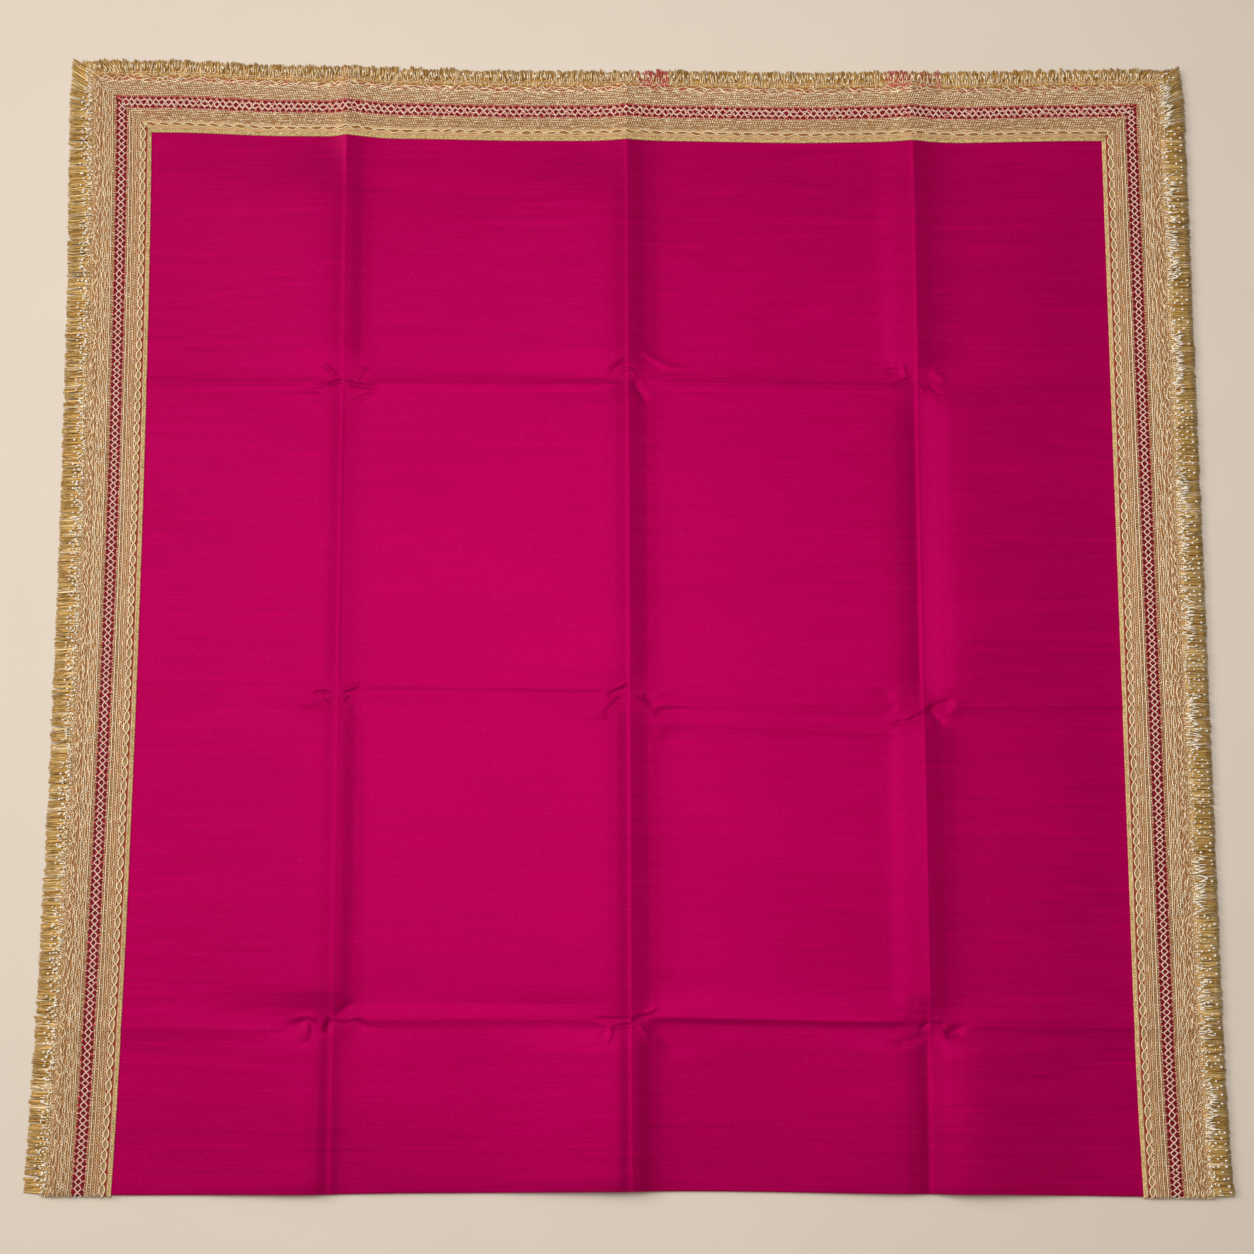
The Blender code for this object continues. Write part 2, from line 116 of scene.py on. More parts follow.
# Their ridges in millimetres, one row for each stretch between two long creases: which cross crease,
# which panel, how far off at its left and right end, height, and reach on the near and the far side
CROSS_LINES = (
    (0, 0, -9, -10, 1.4, 18, 24), (0, 1, -1, 0, 0.8, 10, 26), (0, 1, 14, 15, -0.8, 14, 36),
    (0, 2, 2.5, 0.5, 2.4, 7, 34), (0, 3, -2, -4, 1.6, 12, 30),
    (1, 0, 10, 10, 0.15, 4, 12), (1, 0, -15, -13, 0.18, 4, 12), (1, 1, 8, 6, 0.85, 6, 16),
    (1, 2, -9, -5, 0.6, 7, 14), (1, 2, -27, -26, 1.3, 8, 14), (1, 3, 1, -1, 1.4, 12, 20),
    (2, 0, -5, -5, 1.6, 9, 20), (2, 1, -6, -6.5, 1.5, 9, 20), (2, 2, -4, -3, 1.6, 9, 18),
)
PUCKER_HEIGHT = 1.4
# Puckers where a long and a cross crease meet, in millimetres and degrees: middle right of and beyond
# the crossing, half length, turn, bow, height and breadth
PUCKERS = {
    (0, 2): ((-7, -4, 8, 12, 0, -1.5, 1.8), (18, 4, 9, 50, 0, 1.0, 2.5), (20, -8, 18, -10, 0, 1.3, 2.2),
             (20, -21, 18, 25, 0, 1.0, 2.5), (-25, -9, 10, 8, 0, 0.9, 1.8), (-33, -18, 10, -5, 0, 0.7, 1.8),
             (-30, -27, 9, -12, 0, 0.6, 1.8), (-14, 8, 10, -40, 0, 0.9, 2.0)),
    (1, 2): ((-1, 10, 9, 0, -6, 0.6, 1.8), (-9, 13, 12, 25, -3, -0.6, 2.0), (-13, 18, 14, 28, 0, 0.5, 2.0),
             (31, 19, 21, -30, 0, 1.0, 2.5), (36, 3, 15, 17, 0, 0.8, 2.2), (12, -14, 14, -60, 0, -1.2, 4.5),
             (-17, -6, 9, -5, 3, 0.5, 1.5), (60, -22, 18, 32, 0, 0.3, 1.5), (-38, 1, 12, 4, 0, -0.5, 1.8)),
    (2, 2): ((-23, 12, 7, 10, 0, -0.9, 4.0), (-13, 12, 8, 100, 0, 0.5, 2.0), (-13, 2, 11, 16, 0, -0.9, 1.8),
             (22, 7, 9, -35, 0, 0.9, 4.0), (18, -7, 9, -40, 0, -0.5, 2.0), (5, -6, 5, -50, 0, 0.4, 1.5)),
    (0, 1): ((-16, 1, 9, 0, -1.5, -1.0, 1.6), (-10, -5, 5, -35, 0, -0.8, 2.0),
             (-26, -8, 13, 22, 0, -0.8, 4.0), (11, -5, 5, 35, 0, -0.8, 2.0), (14, 7, 11, 28, 0, 0.7, 1.8),
             (13, 2, 10, 15, 0, -0.6, 1.4), (20, -13, 8, 30, 0, -0.5, 4.0)),
    (1, 1): ((-8, 10, 7, 30, 0, 0.5, 2.0), (-13, 4, 10, 27, 0, -0.85, 2.0),
             (-17, -11, 14, 45, 0, -1.0, 3.5), (-45, -21, 30, 0, 0, -0.4, 1.8),
             (10, -5, 11, -28, 0, 0.9, 1.5), (20, -4, 8, -35, 0, -0.7, 3.0), (40, 6, 18, 20, 0, 0.5, 1.8),
             (38, -14, 14, 14, 0, -0.8, 3.0), (57, -20, 10, 40, 0, -0.6, 4.0),
             (50, -35, 22, 17, 3, -0.7, 2.5), (27, -40, 10, 50, 0, 0.6, 2.0)),
    (2, 1): ((-8, -6, 18, 33, 0, 1.0, 2.5), (14, 7, 14, 18, 0, 0.8, 2.0), (-19, -14, 12, 20, 0, -1.3, 2.5),
             (12, -10, 12, -50, 0, -1.2, 5.0), (31, 0, 10, 60, 0, 0.9, 5.0), (-38, 13, 8, 0, 0, -0.6, 5.0),
             (-35, -3, 8, 30, 0, -0.6, 4.0), (46, 8, 6, 60, 0, -0.5, 3.0)),
    (0, 0): ((-38, -8, 13, 38, 0, -2.2, 4.0), (-4, -6, 7, 75, 0, -1.9, 3.4), (12, -4, 10, 0, 3, -0.8, 1.6),
             (30, -5, 8, -40, 0, -1.0, 2.5), (-25, 3, 11, 0, -4, 1.2, 2.2), (24, 2, 8, 0, -4, 1.0, 2.2),
             (-25, -11, 9, 85, 0, 1.1, 2.5), (12, 10, 12, 40, 0, -0.8, 4.0)),
    (1, 0): ((-18, 1, 18, 0, 0, -0.8, 1.5), (9, 2.5, 9, 18, 0, -1.3, 2.0), (18, 8, 9, 30, 0, 0.7, 2.0),
             (-26, -13, 8, 80, 3, -1.0, 2.0), (-20, -14, 9, 80, 4, 0.8, 1.8),
             (-9, -6, 10, 10, 0, -0.8, 1.8), (-42, -12, 12, 30, 0, -0.6, 5.0),
             (-38, -26, 10, 15, 0, -0.5, 3.0), (33, -18, 20, -50, 0, -1.0, 7.0),
             (13, -11, 8, -50, 0, 0.8, 1.8)),
    (2, 0): ((-17, 5, 13, -18, 0, 0.6, 2.0), (-8, 12, 8, -50, 0, 0.5, 2.0), (-5, -2, 6, 30, 0, -1.2, 2.0),
             (7, -1, 7, -5, 0, -0.9, 1.5), (22, -9, 8, 25, 0, -1.7, 4.0), (-20, -17, 15, 12, 0, -0.9, 4.0),
             (30, -3, 12, 15, 0, -0.5, 2.5)),
}
FAR_STRAY = ((-0.559, 0.0140), (-0.480, 0.0130), (-0.350, 0.0078), (-0.290, 0.0070), (-0.226, 0.0040),
             (-0.101, 0.0015), (0.024, 0.0014), (0.180, -0.0008), (0.274, 0.0008), (0.337, -0.0004),
             (0.470, 0.0022), (0.559, 0.0038))
NEAR_STRAY = ((-0.559, -0.0008), (-0.330, -0.0004), (-0.200, 0.0012), (0.060, 0.0030), (0.300, 0.0003),
              (0.559, -0.0024))
# The lace, from its outer edge inwards
TAPE = 0.0008               # height of the tape's upper side above the cloth
NET_MIDDLE = 0.0313
NET_ROW = 0.0043            # distance between two rows of eyes
BRAID_MIDDLE = 0.0545
EDGES = ("left", "far", "right")
UP = np.array([0.0, 0.0, 1.0])
FRINGE_START = 0.0008       # how far past the near fold the side fringes start
DROP_SHARE = 0.90           # share of a fringe thread's length over which it sinks to the floor
# The camera's place, what it looks at, and its lens in millimetres on a sensor 36 mm wide
CAMERA = (0.0015, -0.3252, 1.990)
CAMERA_TARGET = (0.0015, -0.0232, 0.006)
LENS = 57.42
# The fringe of each edge: pitch and sway in degrees of its clumps, unevenness, extra length at the near and
# far ends, how far in and how high its threads are rooted, lean to the clump's middle, how far its tips are
# raised, tone of the threads beneath (painted lighter on the sides against the shade of the threads above,
# a little darker at the far end as painted shade), rise of tone to the tip (painted shade towards the
# root and painted light at the tip), middle tone, spread of tones, share of pale threads (painted glints),
# dye, and tone of the white thread that paints the glints. Dots have a pitch, radius, length and the depth
# of each row. Strokes have a count, depth, length, bend, turn and thickness
SIDE = {"inside": 0.0012, "root": 0.0006, "lean": 0.12, "under": 1.10, "rise": 0.22, "tones": 1.0,
        "pale": 0.50, "dye": (1.0, 1.0, 1.0), "white": (1.0, 0.96, 0.88)}
FRINGE = {
    "left": SimpleNamespace(
        **SIDE, clump=0.0030, sway=2.5, uneven=0.030, extra=(0.0028, 0.0058), raised=0.0, tip=0.0034,
        middle=0.42, frayed=0.30, dots=(0.0066, 0.00135, 1.2, (0.06, 0.22, 0.38, 0.54)),
        strokes=((300, (0.00, 0.46), (0.0032, 0.0064), 4.0, 1.2, 0.00090),
                 (380, (0.05, 0.50), (0.0040, 0.0090), 1.0, 0.22, 0.00068))),
    "far": SimpleNamespace(
        inside=0.0036, root=0.0013, lean=0.22, under=0.95, rise=0.30, tones=1.3, pale=0.20,
        dye=(1.06, 0.98, 0.85), white=(1.0, 0.86, 0.62), clump=0.0030, sway=3.2, uneven=0.06,
        extra=(0.0008, 0.0012), raised=0.0, tip=0.0034, middle=0.42, dots=(0.0085, 0.00105, 1.9, (0.50,)),
        strokes=((640, (0.10, 0.62), (0.0050, 0.0115), 0.35, 0.12, 0.00062),
                 (120, (0.00, 0.20), (0.0014, 0.0028), 2.6, 1.2, 0.00065))),
    "right": SimpleNamespace(
        **SIDE, clump=0.0040, sway=2.0, uneven=0.020, extra=(0.0036, 0.0056), raised=0.0030, tip=0.0054,
        middle=0.52, frayed=0.45, dots=(0.0078, 0.00135, 1.2, (0.06, 0.24, 0.44, 0.66, 0.90)),
        strokes=((160, (0.00, 0.34), (0.0026, 0.0056), 3.2, 1.3, 0.00080),
                 (980, (0.08, 0.56), (0.0055, 0.0120), 0.7, 0.18, 0.00090))),
}


def ease(value):
    """Smooth step from 0 to 1."""
    value = np.clip(value, 0.0, 1.0)
    return value * value * (3.0 - 2.0 * value)


def through(x, places, values):
    """Curve through the values at the places, level at each of them."""
    places = np.asarray(places, float)
    values = np.asarray(values, float)
    x = np.clip(x, places[0], places[-1])
    place = np.clip(np.searchsorted(places, x, side="right") - 1, 0, len(places) - 2)
    low = places[place]
    high = places[place + 1]
    return values[place] + (values[place + 1] - values[place]) * ease((x - low) / (high - low))


def across_places():
    """Nominal x of the two edges and of the long creases."""
    middle = [(crease["near"] + crease["far"]) / 2 for crease in LONG_CREASES]
    return np.array([-HALF_WIDTH, *middle, HALF_WIDTH])


def along_places():
    """Nominal y of the two ends and of the cross creases."""
    return np.array([NEAR, *(NEAR + crease["from_fold"] for crease in CROSS_CREASES), FAR])


def lay_x(x, y):
    """x on the floor: the left edge bows in, the right one flares out, and the creases lean a little."""
    share = (y - NEAR) / (FAR - NEAR)
    places = across_places()
    weights = [np.interp(x, places, row) for row in np.eye(len(places))]
    result = x + weights[0] * SIDE_BOW * np.clip(4 * share * (1 - share), 0.0, 1.0) ** 0.75
    result = result + weights[-1] * SIDE_FLARE * np.clip(1.0 - share / FLARE_SHARE, 0.0, 1.0) ** 2
    for weight, place, crease in zip(weights[1:-1], places[1:-1], LONG_CREASES):
        line = crease["near"] + (crease["far"] - crease["near"]) * share
        result = result + weight * (line - place)
    return result


def lay_y(x, y):
    """y on the floor: the two ends and the cross creases are a little wavy."""
    places = along_places()
    across = across_places()
    weights = [np.interp(y, places, row) for row in np.eye(len(places))]
    result = y + weights[0] * through(x, *np.transpose(NEAR_STRAY))
    result = result + weights[-1] * through(x, *np.transpose(FAR_STRAY))
    for weight, crease in zip(weights[1:-1], CROSS_CREASES):
        result = result + weight * through(x, across, crease["stray"])
    return result


def cusp(offset, before, after):
    """A fold's cross-section: 1 at the line, sloping down to 0 at its reach on either side."""
    reach = np.where(offset < 0, before, after)
    return np.clip(1.0 - np.abs(offset) / reach, 0.0, 1.0) ** 2


def crease_shares(y):
    """How much of its heights in each panel, and of its hump under the lace, a long crease has at y."""
    lines, each = along_places(), np.eye(5)
    places, rows = [lines[0]], [1.3 * each[0]]
    for index, line in enumerate(lines[1:-1]):
        places += [line - CROSSING_REACH, line, line + CROSSING_REACH]
        rows += [each[index], CROSSING_KEEP * (each[index] + each[index + 1]) / 2, each[index + 1]]
    places += [lines[-1] - 2 * LACE, lines[-1] - LACE, lines[-1]]
    rows += [each[3], each[4], each[4]]
    return [through(y, places, column) for column in np.transpose(rows)]


def crease_level(offset, heights):
    """Height across a long crease: straight from node to node, with corners rounded 3 mm to either side."""
    places = np.arange(-CREASE_FADE - 4.0, CREASE_FADE + 4.0, 0.5)
    nodes = (-CREASE_FADE, *CREASE_NODES, CREASE_FADE)
    straight = np.interp(places, nodes, (0.0, *heights, 0.0)) * CREASE_HEIGHT
    soft = np.hanning(13)
    return np.interp(offset * 1000, places, np.convolve(straight, soft / soft.sum(), "same")) / 1000


def cross_line(x, y, row):
    """A ridge along one stretch of a cross crease, fading out beside the long creases."""
    crease, panel, first, last, height, near_reach, far_reach = row
    start, end = across_places()[panel:panel + 2]
    share = (x - start) / (end - start)
    line = along_places()[crease + 1] + (first + (last - first) * share) / 1000
    fade_in = 1.0 if panel == 0 else ease((x - start - 0.012) / 0.030)
    fade_out = 1.0 if panel == 3 else ease((end - 0.012 - x) / 0.030)
    window = np.where((x >= start) & (x <= end), fade_in * fade_out, 0.0)
    return height / 1000 * window * cusp(y - line, near_reach / 1000, far_reach / 1000)


def pucker(x, y, crossing, row):
    """A short ridge or groove, straight or bowed: a bell across it, fading out towards both ends."""
    right, beyond, half_length, turn, bow, height, breadth = row
    angle = math.radians(turn)
    x = (x - across_places()[crossing[0] + 1]) * 1000 - right
    y = (y - along_places()[crossing[1] + 1]) * 1000 - beyond
    along = (x * math.cos(angle) + y * math.sin(angle)) / half_length
    across = y * math.cos(angle) - x * math.sin(angle) - bow * along ** 2
    return PUCKER_HEIGHT * height / 1000 * np.exp(-(across / breadth) ** 2) * ease(1.25 - along ** 2)


def top_level(x, y):
    """Height of the cloth's upper side: edges low, panels crowned, creases and puckers on top."""
    edge = np.minimum(HALF_WIDTH - np.abs(x), FAR - y) - LACE
    level = TOP_LEVEL + CROWN * ease(edge / CROWN_SLOPE) * ease((y - NEAR) / CROWN_SLOPE)
    inner = ease(edge / 0.02)
    for place, crease in zip(across_places()[1:-1], LONG_CREASES):
        offset = x - place
        *panels, hump = crease_shares(y)
        for share, heights in zip(panels, crease["heights"]):
            level = level + share * crease_level(offset, heights)
        level = level + hump * crease["edge"] * cusp(offset, crease["left"], crease["right"])
        level = level + inner * PINCH * np.exp(-(offset / PINCH_BREADTH) ** 2)
    for row in CROSS_LINES:
        level = level + cross_line(x, y, row)
    for crossing, rows in PUCKERS.items():
        for row in rows:
            level = level + inner * pucker(x, y, crossing, row)
    return level


def on_cloth(x, y, lift):
    """A point of the cloth, moved out by lift. Where y is past the near fold, it goes round it."""
    x, y, lift = np.broadcast_arrays(np.asarray(x, float), y, lift)
    turn = np.clip((NEAR - y) / NOSE_ARC, 0.0, math.pi)
    y = np.maximum(y, NEAR)
    middle = top_level(x, y) / 2
    flat_y = lay_y(x, y) - (NOSE + lift) * np.sin(turn)
    return np.stack((lay_x(x, y), flat_y, middle + (middle + lift) * np.cos(turn)), axis=-1)


def outward(y):
    """The cloth's outward direction at y: up on the level, and turning round the near fold."""
    turn = np.clip((NEAR - np.asarray(y, float)) / NOSE_ARC, 0.0, math.pi)
    return np.stack((np.zeros_like(turn), -np.sin(turn), np.cos(turn)), axis=-1)


def wander(place, rng, length, size, waves=5):
    """A smooth random curve: a sum of sine waves of about that length, with that height in all.

    The draws come from a generator, or from a seed that gives the same curve each time.
    """
    rng = np.random.default_rng(rng)
    phase = rng.uniform(0.0, 2 * math.pi, waves)
    rate = 2 * math.pi / (length * rng.uniform(0.6, 1.9, waves))
    return size / math.sqrt(waves) * np.sin(place[..., None] * rate + phase).sum(-1)


def graded(low, high, lines, fine, coarse, core, reach):
    """Places from low to high: fine steps beside the lines, growing to coarse ones away from them."""
    dense = np.linspace(low, high, 20001)
    away = np.min([np.abs(dense - line) for line in lines], axis=0)
    step = fine + (coarse - fine) * ease((away - core) / reach)
    travelled = np.concatenate(([0.0], np.cumsum(1.0 / step)[:-1])) * (dense[1] - dense[0])
    return np.interp(np.linspace(0.0, travelled[-1], int(travelled[-1]) + 1), travelled, dense)


def grid_faces(rows, columns, closed=False):
    """Quads of a grid of points in rows. Closed: each row's last point meets its first."""
    number = np.arange(rows * columns).reshape(rows, columns)
    if closed:
        number = np.concatenate((number, number[:, :1]), axis=1)
    return np.stack((number[:-1, :-1], number[:-1, 1:], number[1:, 1:], number[1:, :-1]),
                    axis=-1).reshape(-1, 4)


def shell(outer, inner):
    """Points and quads between two grids, closed all round. Rows run along +Y, columns along +X."""
    rows, columns = outer.shape[:2]
    count = rows * columns
    upper = grid_faces(rows, columns)
    number = np.arange(count).reshape(rows, columns)
    rim = np.concatenate((number[0], number[1:, -1], number[-1, -2::-1], number[-2:0:-1, 0]))
    after = np.roll(rim, -1)
    wall = np.stack((after, rim, rim + count, after + count), axis=-1)
    lower = upper[:, ::-1] + count
    points = np.concatenate((outer.reshape(-1, 3), inner.reshape(-1, 3)))
    return points, np.concatenate((upper, lower, wall))


def tubes(paths, ups, radii, sides=3, flat=1.0):
    """Threads along paths (thread, station, xyz): a ring of points about each station.

    A ring stands square to the path, its first point towards up, and is flat times as thick as broad.
    Returns points, quads and the two closing faces of each thread, as corner numbers.
    """
    ahead = np.gradient(paths, axis=1)
    ahead /= np.linalg.norm(ahead, axis=-1, keepdims=True) + 1e-12
    across = np.cross(ahead, ups)
    across /= np.linalg.norm(across, axis=-1, keepdims=True) + 1e-12
    up = np.cross(across, ahead)
    angle = 2 * math.pi * np.arange(sides) / sides + math.pi / 2
    radii = np.broadcast_to(radii, paths.shape[:2])[..., None, None]
    ring = (across[:, :, None] * np.cos(angle)[:, None]
            + flat * up[:, :, None] * np.sin(angle)[:, None]) * radii
    points = paths[:, :, None] + ring
    threads, stations = paths.shape[:2]
    one = grid_faces(stations, sides, closed=True)
    base = (np.arange(threads) * stations * sides)[:, None, None]
    quads = (one[None] + base).reshape(-1, 4)
    corner = np.arange(sides)
    first = corner[None, ::-1] + base[:, 0]
    last = corner[None] + (stations - 1) * sides + base[:, 0]
    return points.reshape(-1, 3), [quads[:, ::-1], first[:, ::-1], last[:, ::-1]]


def beads(middles, ups, ahead, radius, long=1.0):
    """Small eight-sided beads: a point above, below, before, behind and to either side of each middle."""
    across = np.cross(ahead, ups)
    radius = np.broadcast_to(radius, len(middles))[:, None]
    tips = [middles + ups * radius, middles - ups * radius,
            middles + ahead * radius * long, middles + across * radius,
            middles - ahead * radius * long, middles - across * radius]
    points = np.stack(tips, axis=1).reshape(-1, 3)
    ring = np.array([2, 3, 4, 5])
    after = np.roll(ring, -1)
    one = np.concatenate((np.stack((np.zeros(4, int), after, ring), axis=1),
                          np.stack((np.ones(4, int), ring, after), axis=1)))
    return points, [(one[None] + 6 * np.arange(len(middles))[:, None, None]).reshape(-1, 3)]


def mixed(dyes, share):
    """Two dyes mixed by a share."""
    return np.array(dyes[0]) * (1.0 - share) + np.array(dyes[1]) * share


def toned(dyes, share):
    """From a deep dye over a middle one to a light one, as the share goes from 0 to 1."""
    deep, middle, light = dyes
    dye = deep + (middle - deep) * np.clip(2 * share, 0, 1)
    return dye + (light - middle) * np.clip(2 * share - 1, 0, 1)


def spread(start, end, count, rng):
    """Random places from start to end, one in each of count equal parts."""
    return start + (np.arange(count) + rng.random(count)) * (end - start) / count


def curled(heading, sizes):
    """Short curled paths about the origin, from their heading at each step: x ahead and y beside."""
    run = np.stack((np.cos(heading), np.sin(heading)), axis=-1)
    way = np.cumsum(run, axis=1) - run / 2
    return (way - way.mean(axis=1, keepdims=True)) * (sizes / heading.shape[1])[:, None, None]


def tapered(steps):
    """Thinner towards both ends of the steps, -1 and 1."""
    return np.sqrt(1.0 - 0.75 * steps ** 2)


class Trim:
    """One trimmed edge with its own random draws, and the threads and knots that go into a piece there."""

    def __init__(self, edge, seed=0):
        self.edge = edge
        self.far = edge == "far"
        self.fringe = FRINGE[edge]
        self.rng = np.random.default_rng(seed + EDGES.index(edge))
        self.empty()

    def empty(self):
        """Starts a new piece."""
        self.points, self.faces, self.dyes = [], [], []
        self.count = 0

    def point(self, along, inside, lift):
        """A point beside the edge, at a distance in from it."""
        if self.far:
            return on_cloth(along, FAR - inside, lift)
        side = -1.0 if self.edge == "left" else 1.0
        return on_cloth(side * (HALF_WIDTH - inside), along, lift)

    def outward(self, along):
        """The cloth's outward direction beside the edge."""
        return outward(np.full_like(along, FAR) if self.far else along)

    def ends(self, inside):
        """Where a thread at that distance in starts and ends: at a mitre, or round the near fold."""
        if self.far:
            return inside - HALF_WIDTH, HALF_WIDTH - inside
        return NEAR - LACE_TURN * NOSE_ARC, FAR - inside

    def run(self, inside, step):
        """Evenly spaced places along the edge, for a thread at that distance in."""
        start, end = self.ends(inside)
        return np.linspace(start, end, int((end - start) / step) + 2)

    def drift(self, along):
        """How a pattern's length drifts from the edge's length, the same for all threads of an edge."""
        return wander(along, 100 + EDGES.index(self.edge), 0.09, 0.0016)

    def add(self, points, faces, dyes):
        """Adds points with their own faces and dyes to the piece."""
        self.faces += [group + self.count for group in faces]
        self.points.append(points)
        self.dyes.append(dyes)
        self.count += len(points)

    def threads(self, paths, ups, radii, dyes, sides=3, flat=1.0):
        """Adds threads. The dye is one for all, or one for each station of each thread."""
        dyes = np.broadcast_to(dyes, paths.shape).reshape(-1, 3)
        self.add(*tubes(paths, ups, radii, sides, flat), np.repeat(dyes, sides, axis=0))

    def knots(self, middles, ups, ahead, radii, dyes, long):
        """Adds beads, with one dye for all or one for each."""
        self.add(*beads(middles, ups, ahead, radii, long),
                 np.repeat(np.broadcast_to(dyes, middles.shape), 6, axis=0))

    def lay(self, inside, step, offset, lift, radius, dyes, sides=3):
        """Lays one thread along the edge. offset and lift are functions of the place along it.

        Its colour goes to and fro between two dyes, as a twist of two threads shows first one and then
        the other.
        """
        along = self.run(inside, step)
        path = self.point(along, inside + offset(along), TAPE + lift(along))
        dye = mixed(dyes, ease(0.5 + wander(along, self.rng, 0.011, 0.75))[:, None])
        self.threads(path[None], self.outward(along)[None], radius, dye, sides)

    def strewn(self, low, high, pitch):
        """Places in staggered rows between two distances in, each a little out of line."""
        rows = np.arange(low, high, pitch * 0.85)
        places = [self.run(row, pitch) + 0.5 * pitch * (order % 2) for order, row in enumerate(rows)]
        inside = np.repeat(rows, [len(row) for row in places])
        return (np.concatenate(places) + self.rng.normal(0.0, 0.16 * pitch, len(inside)),
                inside + self.rng.normal(0.0, 0.14 * pitch, len(inside)))

    def set_knots(self, places, lift, radius, dyes, long=1.0):
        """Sets knots of thread on the lace, each with its own colour or with one between two dyes."""
        along, inside = places
        middles = self.point(along, inside, TAPE + lift)
        ahead = self.point(along + 0.0005, inside, TAPE + lift) - middles
        ahead /= np.linalg.norm(ahead, axis=-1, keepdims=True)
        if len(dyes) == 2:
            dyes = mixed(dyes, self.rng.random((len(along), 1)))
        radii = radius * self.rng.uniform(0.75, 1.2, len(along))
        self.knots(middles, self.outward(along), ahead, radii, dyes, long)

    def finish(self, name, look, slot, *nodes):
        """Makes a piece of all that was gathered, and starts a new one."""
        points = np.concatenate(self.points)
        dyes = np.pad(np.concatenate(self.dyes), ((0, 0), (0, 1)), constant_values=1.0)
        dress(make_piece(f"{name}_{self.edge}", points, self.faces, look, dye=dyes), slot, *nodes)
        self.empty()


def trims(seed):
    """The three trimmed edges, each with its own random draws."""
    return [Trim(edge, seed) for edge in EDGES]


def new_seed(rng):
    """A seed for draws that have to come out the same each time."""
    return int(rng.integers(1 << 30))


def braid_reach(far):
    """How far the braid's two cords swing to either side."""
    return 0.0019 if far else 0.0025


def steady(height):
    """A function of the place along an edge that gives the same everywhere."""
    return lambda along: np.full_like(along, height)


def make_piece(name, points, faces, finish, dye=None, crease_shade=None, lengths=None):
    """A smooth mesh object at the origin, from points and lists of faces of one corner count each."""
    mesh = bpy.data.meshes.new(name)
    mesh.vertices.add(len(points))
    mesh.vertices.foreach_set("co", np.asarray(points, np.float32).ravel())
    corners = np.concatenate([group.ravel() for group in faces]).astype(np.int32)
    sizes = np.concatenate([np.full(len(group), group.shape[1]) for group in faces])
    starts = np.concatenate(([0], np.cumsum(sizes)[:-1])).astype(np.int32)
    mesh.loops.add(len(corners))
    mesh.loops.foreach_set("vertex_index", corners)
    mesh.polygons.add(len(starts))
    mesh.polygons.foreach_set("loop_start", starts)
    mesh.update(calc_edges=True)
    mesh.shade_smooth()
    if lengths is not None:
        layer = mesh.uv_layers.new(name="lengths")
        layer.data.foreach_set("uv", np.asarray(lengths, np.float32)[corners].ravel())
    for key, kind, part, values in (("dye", "FLOAT_COLOR", "color", dye),
                                    ("crease_shade", "FLOAT", "value", crease_shade)):
        if values is not None:
            attribute = mesh.attributes.new(key, kind, "POINT")
            attribute.data.foreach_set(part, np.asarray(values, np.float32).ravel())
    if mesh.validate():
        raise RuntimeError(f"{name}: the mesh had faults")
    mesh.materials.append(finish)
    made = bpy.data.objects.new(name, mesh)
    bpy.context.scene.collection.objects.link(made)
    return made


def dress(piece, slot, *nodes):
    """Lets a piece ride on the saree and hides the solids that it stands for; its slot is not used."""
    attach(piece, "root")
    if nodes:
        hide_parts(*nodes)


class Value:
    """A node's result. The signs + - * / and ** with it add Math nodes."""

    def __init__(self, socket):
        self.socket = socket

    def other(self, key):
        """Another result of the same node."""
        return Value(self.socket.node.outputs[key])

    def clamped(self):
        """The same Math node, with its result kept between 0 and 1."""
        self.socket.node.use_clamp = True
        return self


def feed(socket, value):
    """Links a result to a socket, or sets the socket to a constant, a colour with full alpha."""
    if isinstance(value, Value):
        socket.id_data.links.new(value.socket, socket)
    elif socket.type == "RGBA":
        socket.default_value = (*value[:3], 1.0)
    else:
        socket.default_value = value


def put(tree, kind, *values, **words):
    """Adds a node and returns its first result.

    Values feed its inputs in order. Words with a capital feed the input of that name, with _ for a
    space, and other words are settings.
    """
    made = tree.nodes.new(f"ShaderNode{kind}")
    inputs = dict(enumerate(values))
    for word, value in words.items():
        if word[0].isupper():
            inputs[word.replace("_", " ")] = value
        else:
            setattr(made, word, value)
    for key, value in inputs.items():
        feed(made.inputs[key], value)
    return Value(made.outputs[0])


def tree_of(*values):
    """The node tree in which some of the values are results."""
    return next(value.socket.id_data for value in values if isinstance(value, Value))


def reckon(operation, *values):
    """A Math node's result."""
    return put(tree_of(*values), "Math", *values, operation=operation)


for sign, name in (("add", "ADD"), ("sub", "SUBTRACT"), ("mul", "MULTIPLY"), ("truediv", "DIVIDE"),
                   ("pow", "POWER")):
    setattr(Value, f"__{sign}__", lambda self, other, kind=name: reckon(kind, self, other))
    setattr(Value, f"__r{sign}__", lambda self, other, kind=name: reckon(kind, other, self))


def ranged(value, low, high, to_low=0.0, to_high=1.0):
    """A value's range from low to high, mapped on another range and clamped to it."""
    return put(tree_of(value), "MapRange", value, low, high, to_low, to_high)


def noise(vector, **inputs):
    """A noise texture's value."""
    return put(tree_of(vector), "TexNoise", Vector=vector, **inputs)


def scaled(vector, *factors):
    """A vector with each part multiplied."""
    return put(tree_of(vector), "Mapping", Vector=vector, Scale=factors)


def blended(share, first, second, kind="MIX"):
    """Two colours mixed by a share."""
    made = put(tree_of(share, first, second), "Mix", share, data_type="RGBA", blend_type=kind)
    inputs = made.socket.node.inputs
    feed(inputs[6], first)
    feed(inputs[7], second)
    return made.other(2)


def bumped(height, strength, distance, invert=False):
    """A bump's normal."""
    return put(tree_of(height), "Bump", Height=height, Strength=strength, Distance=distance, invert=invert)


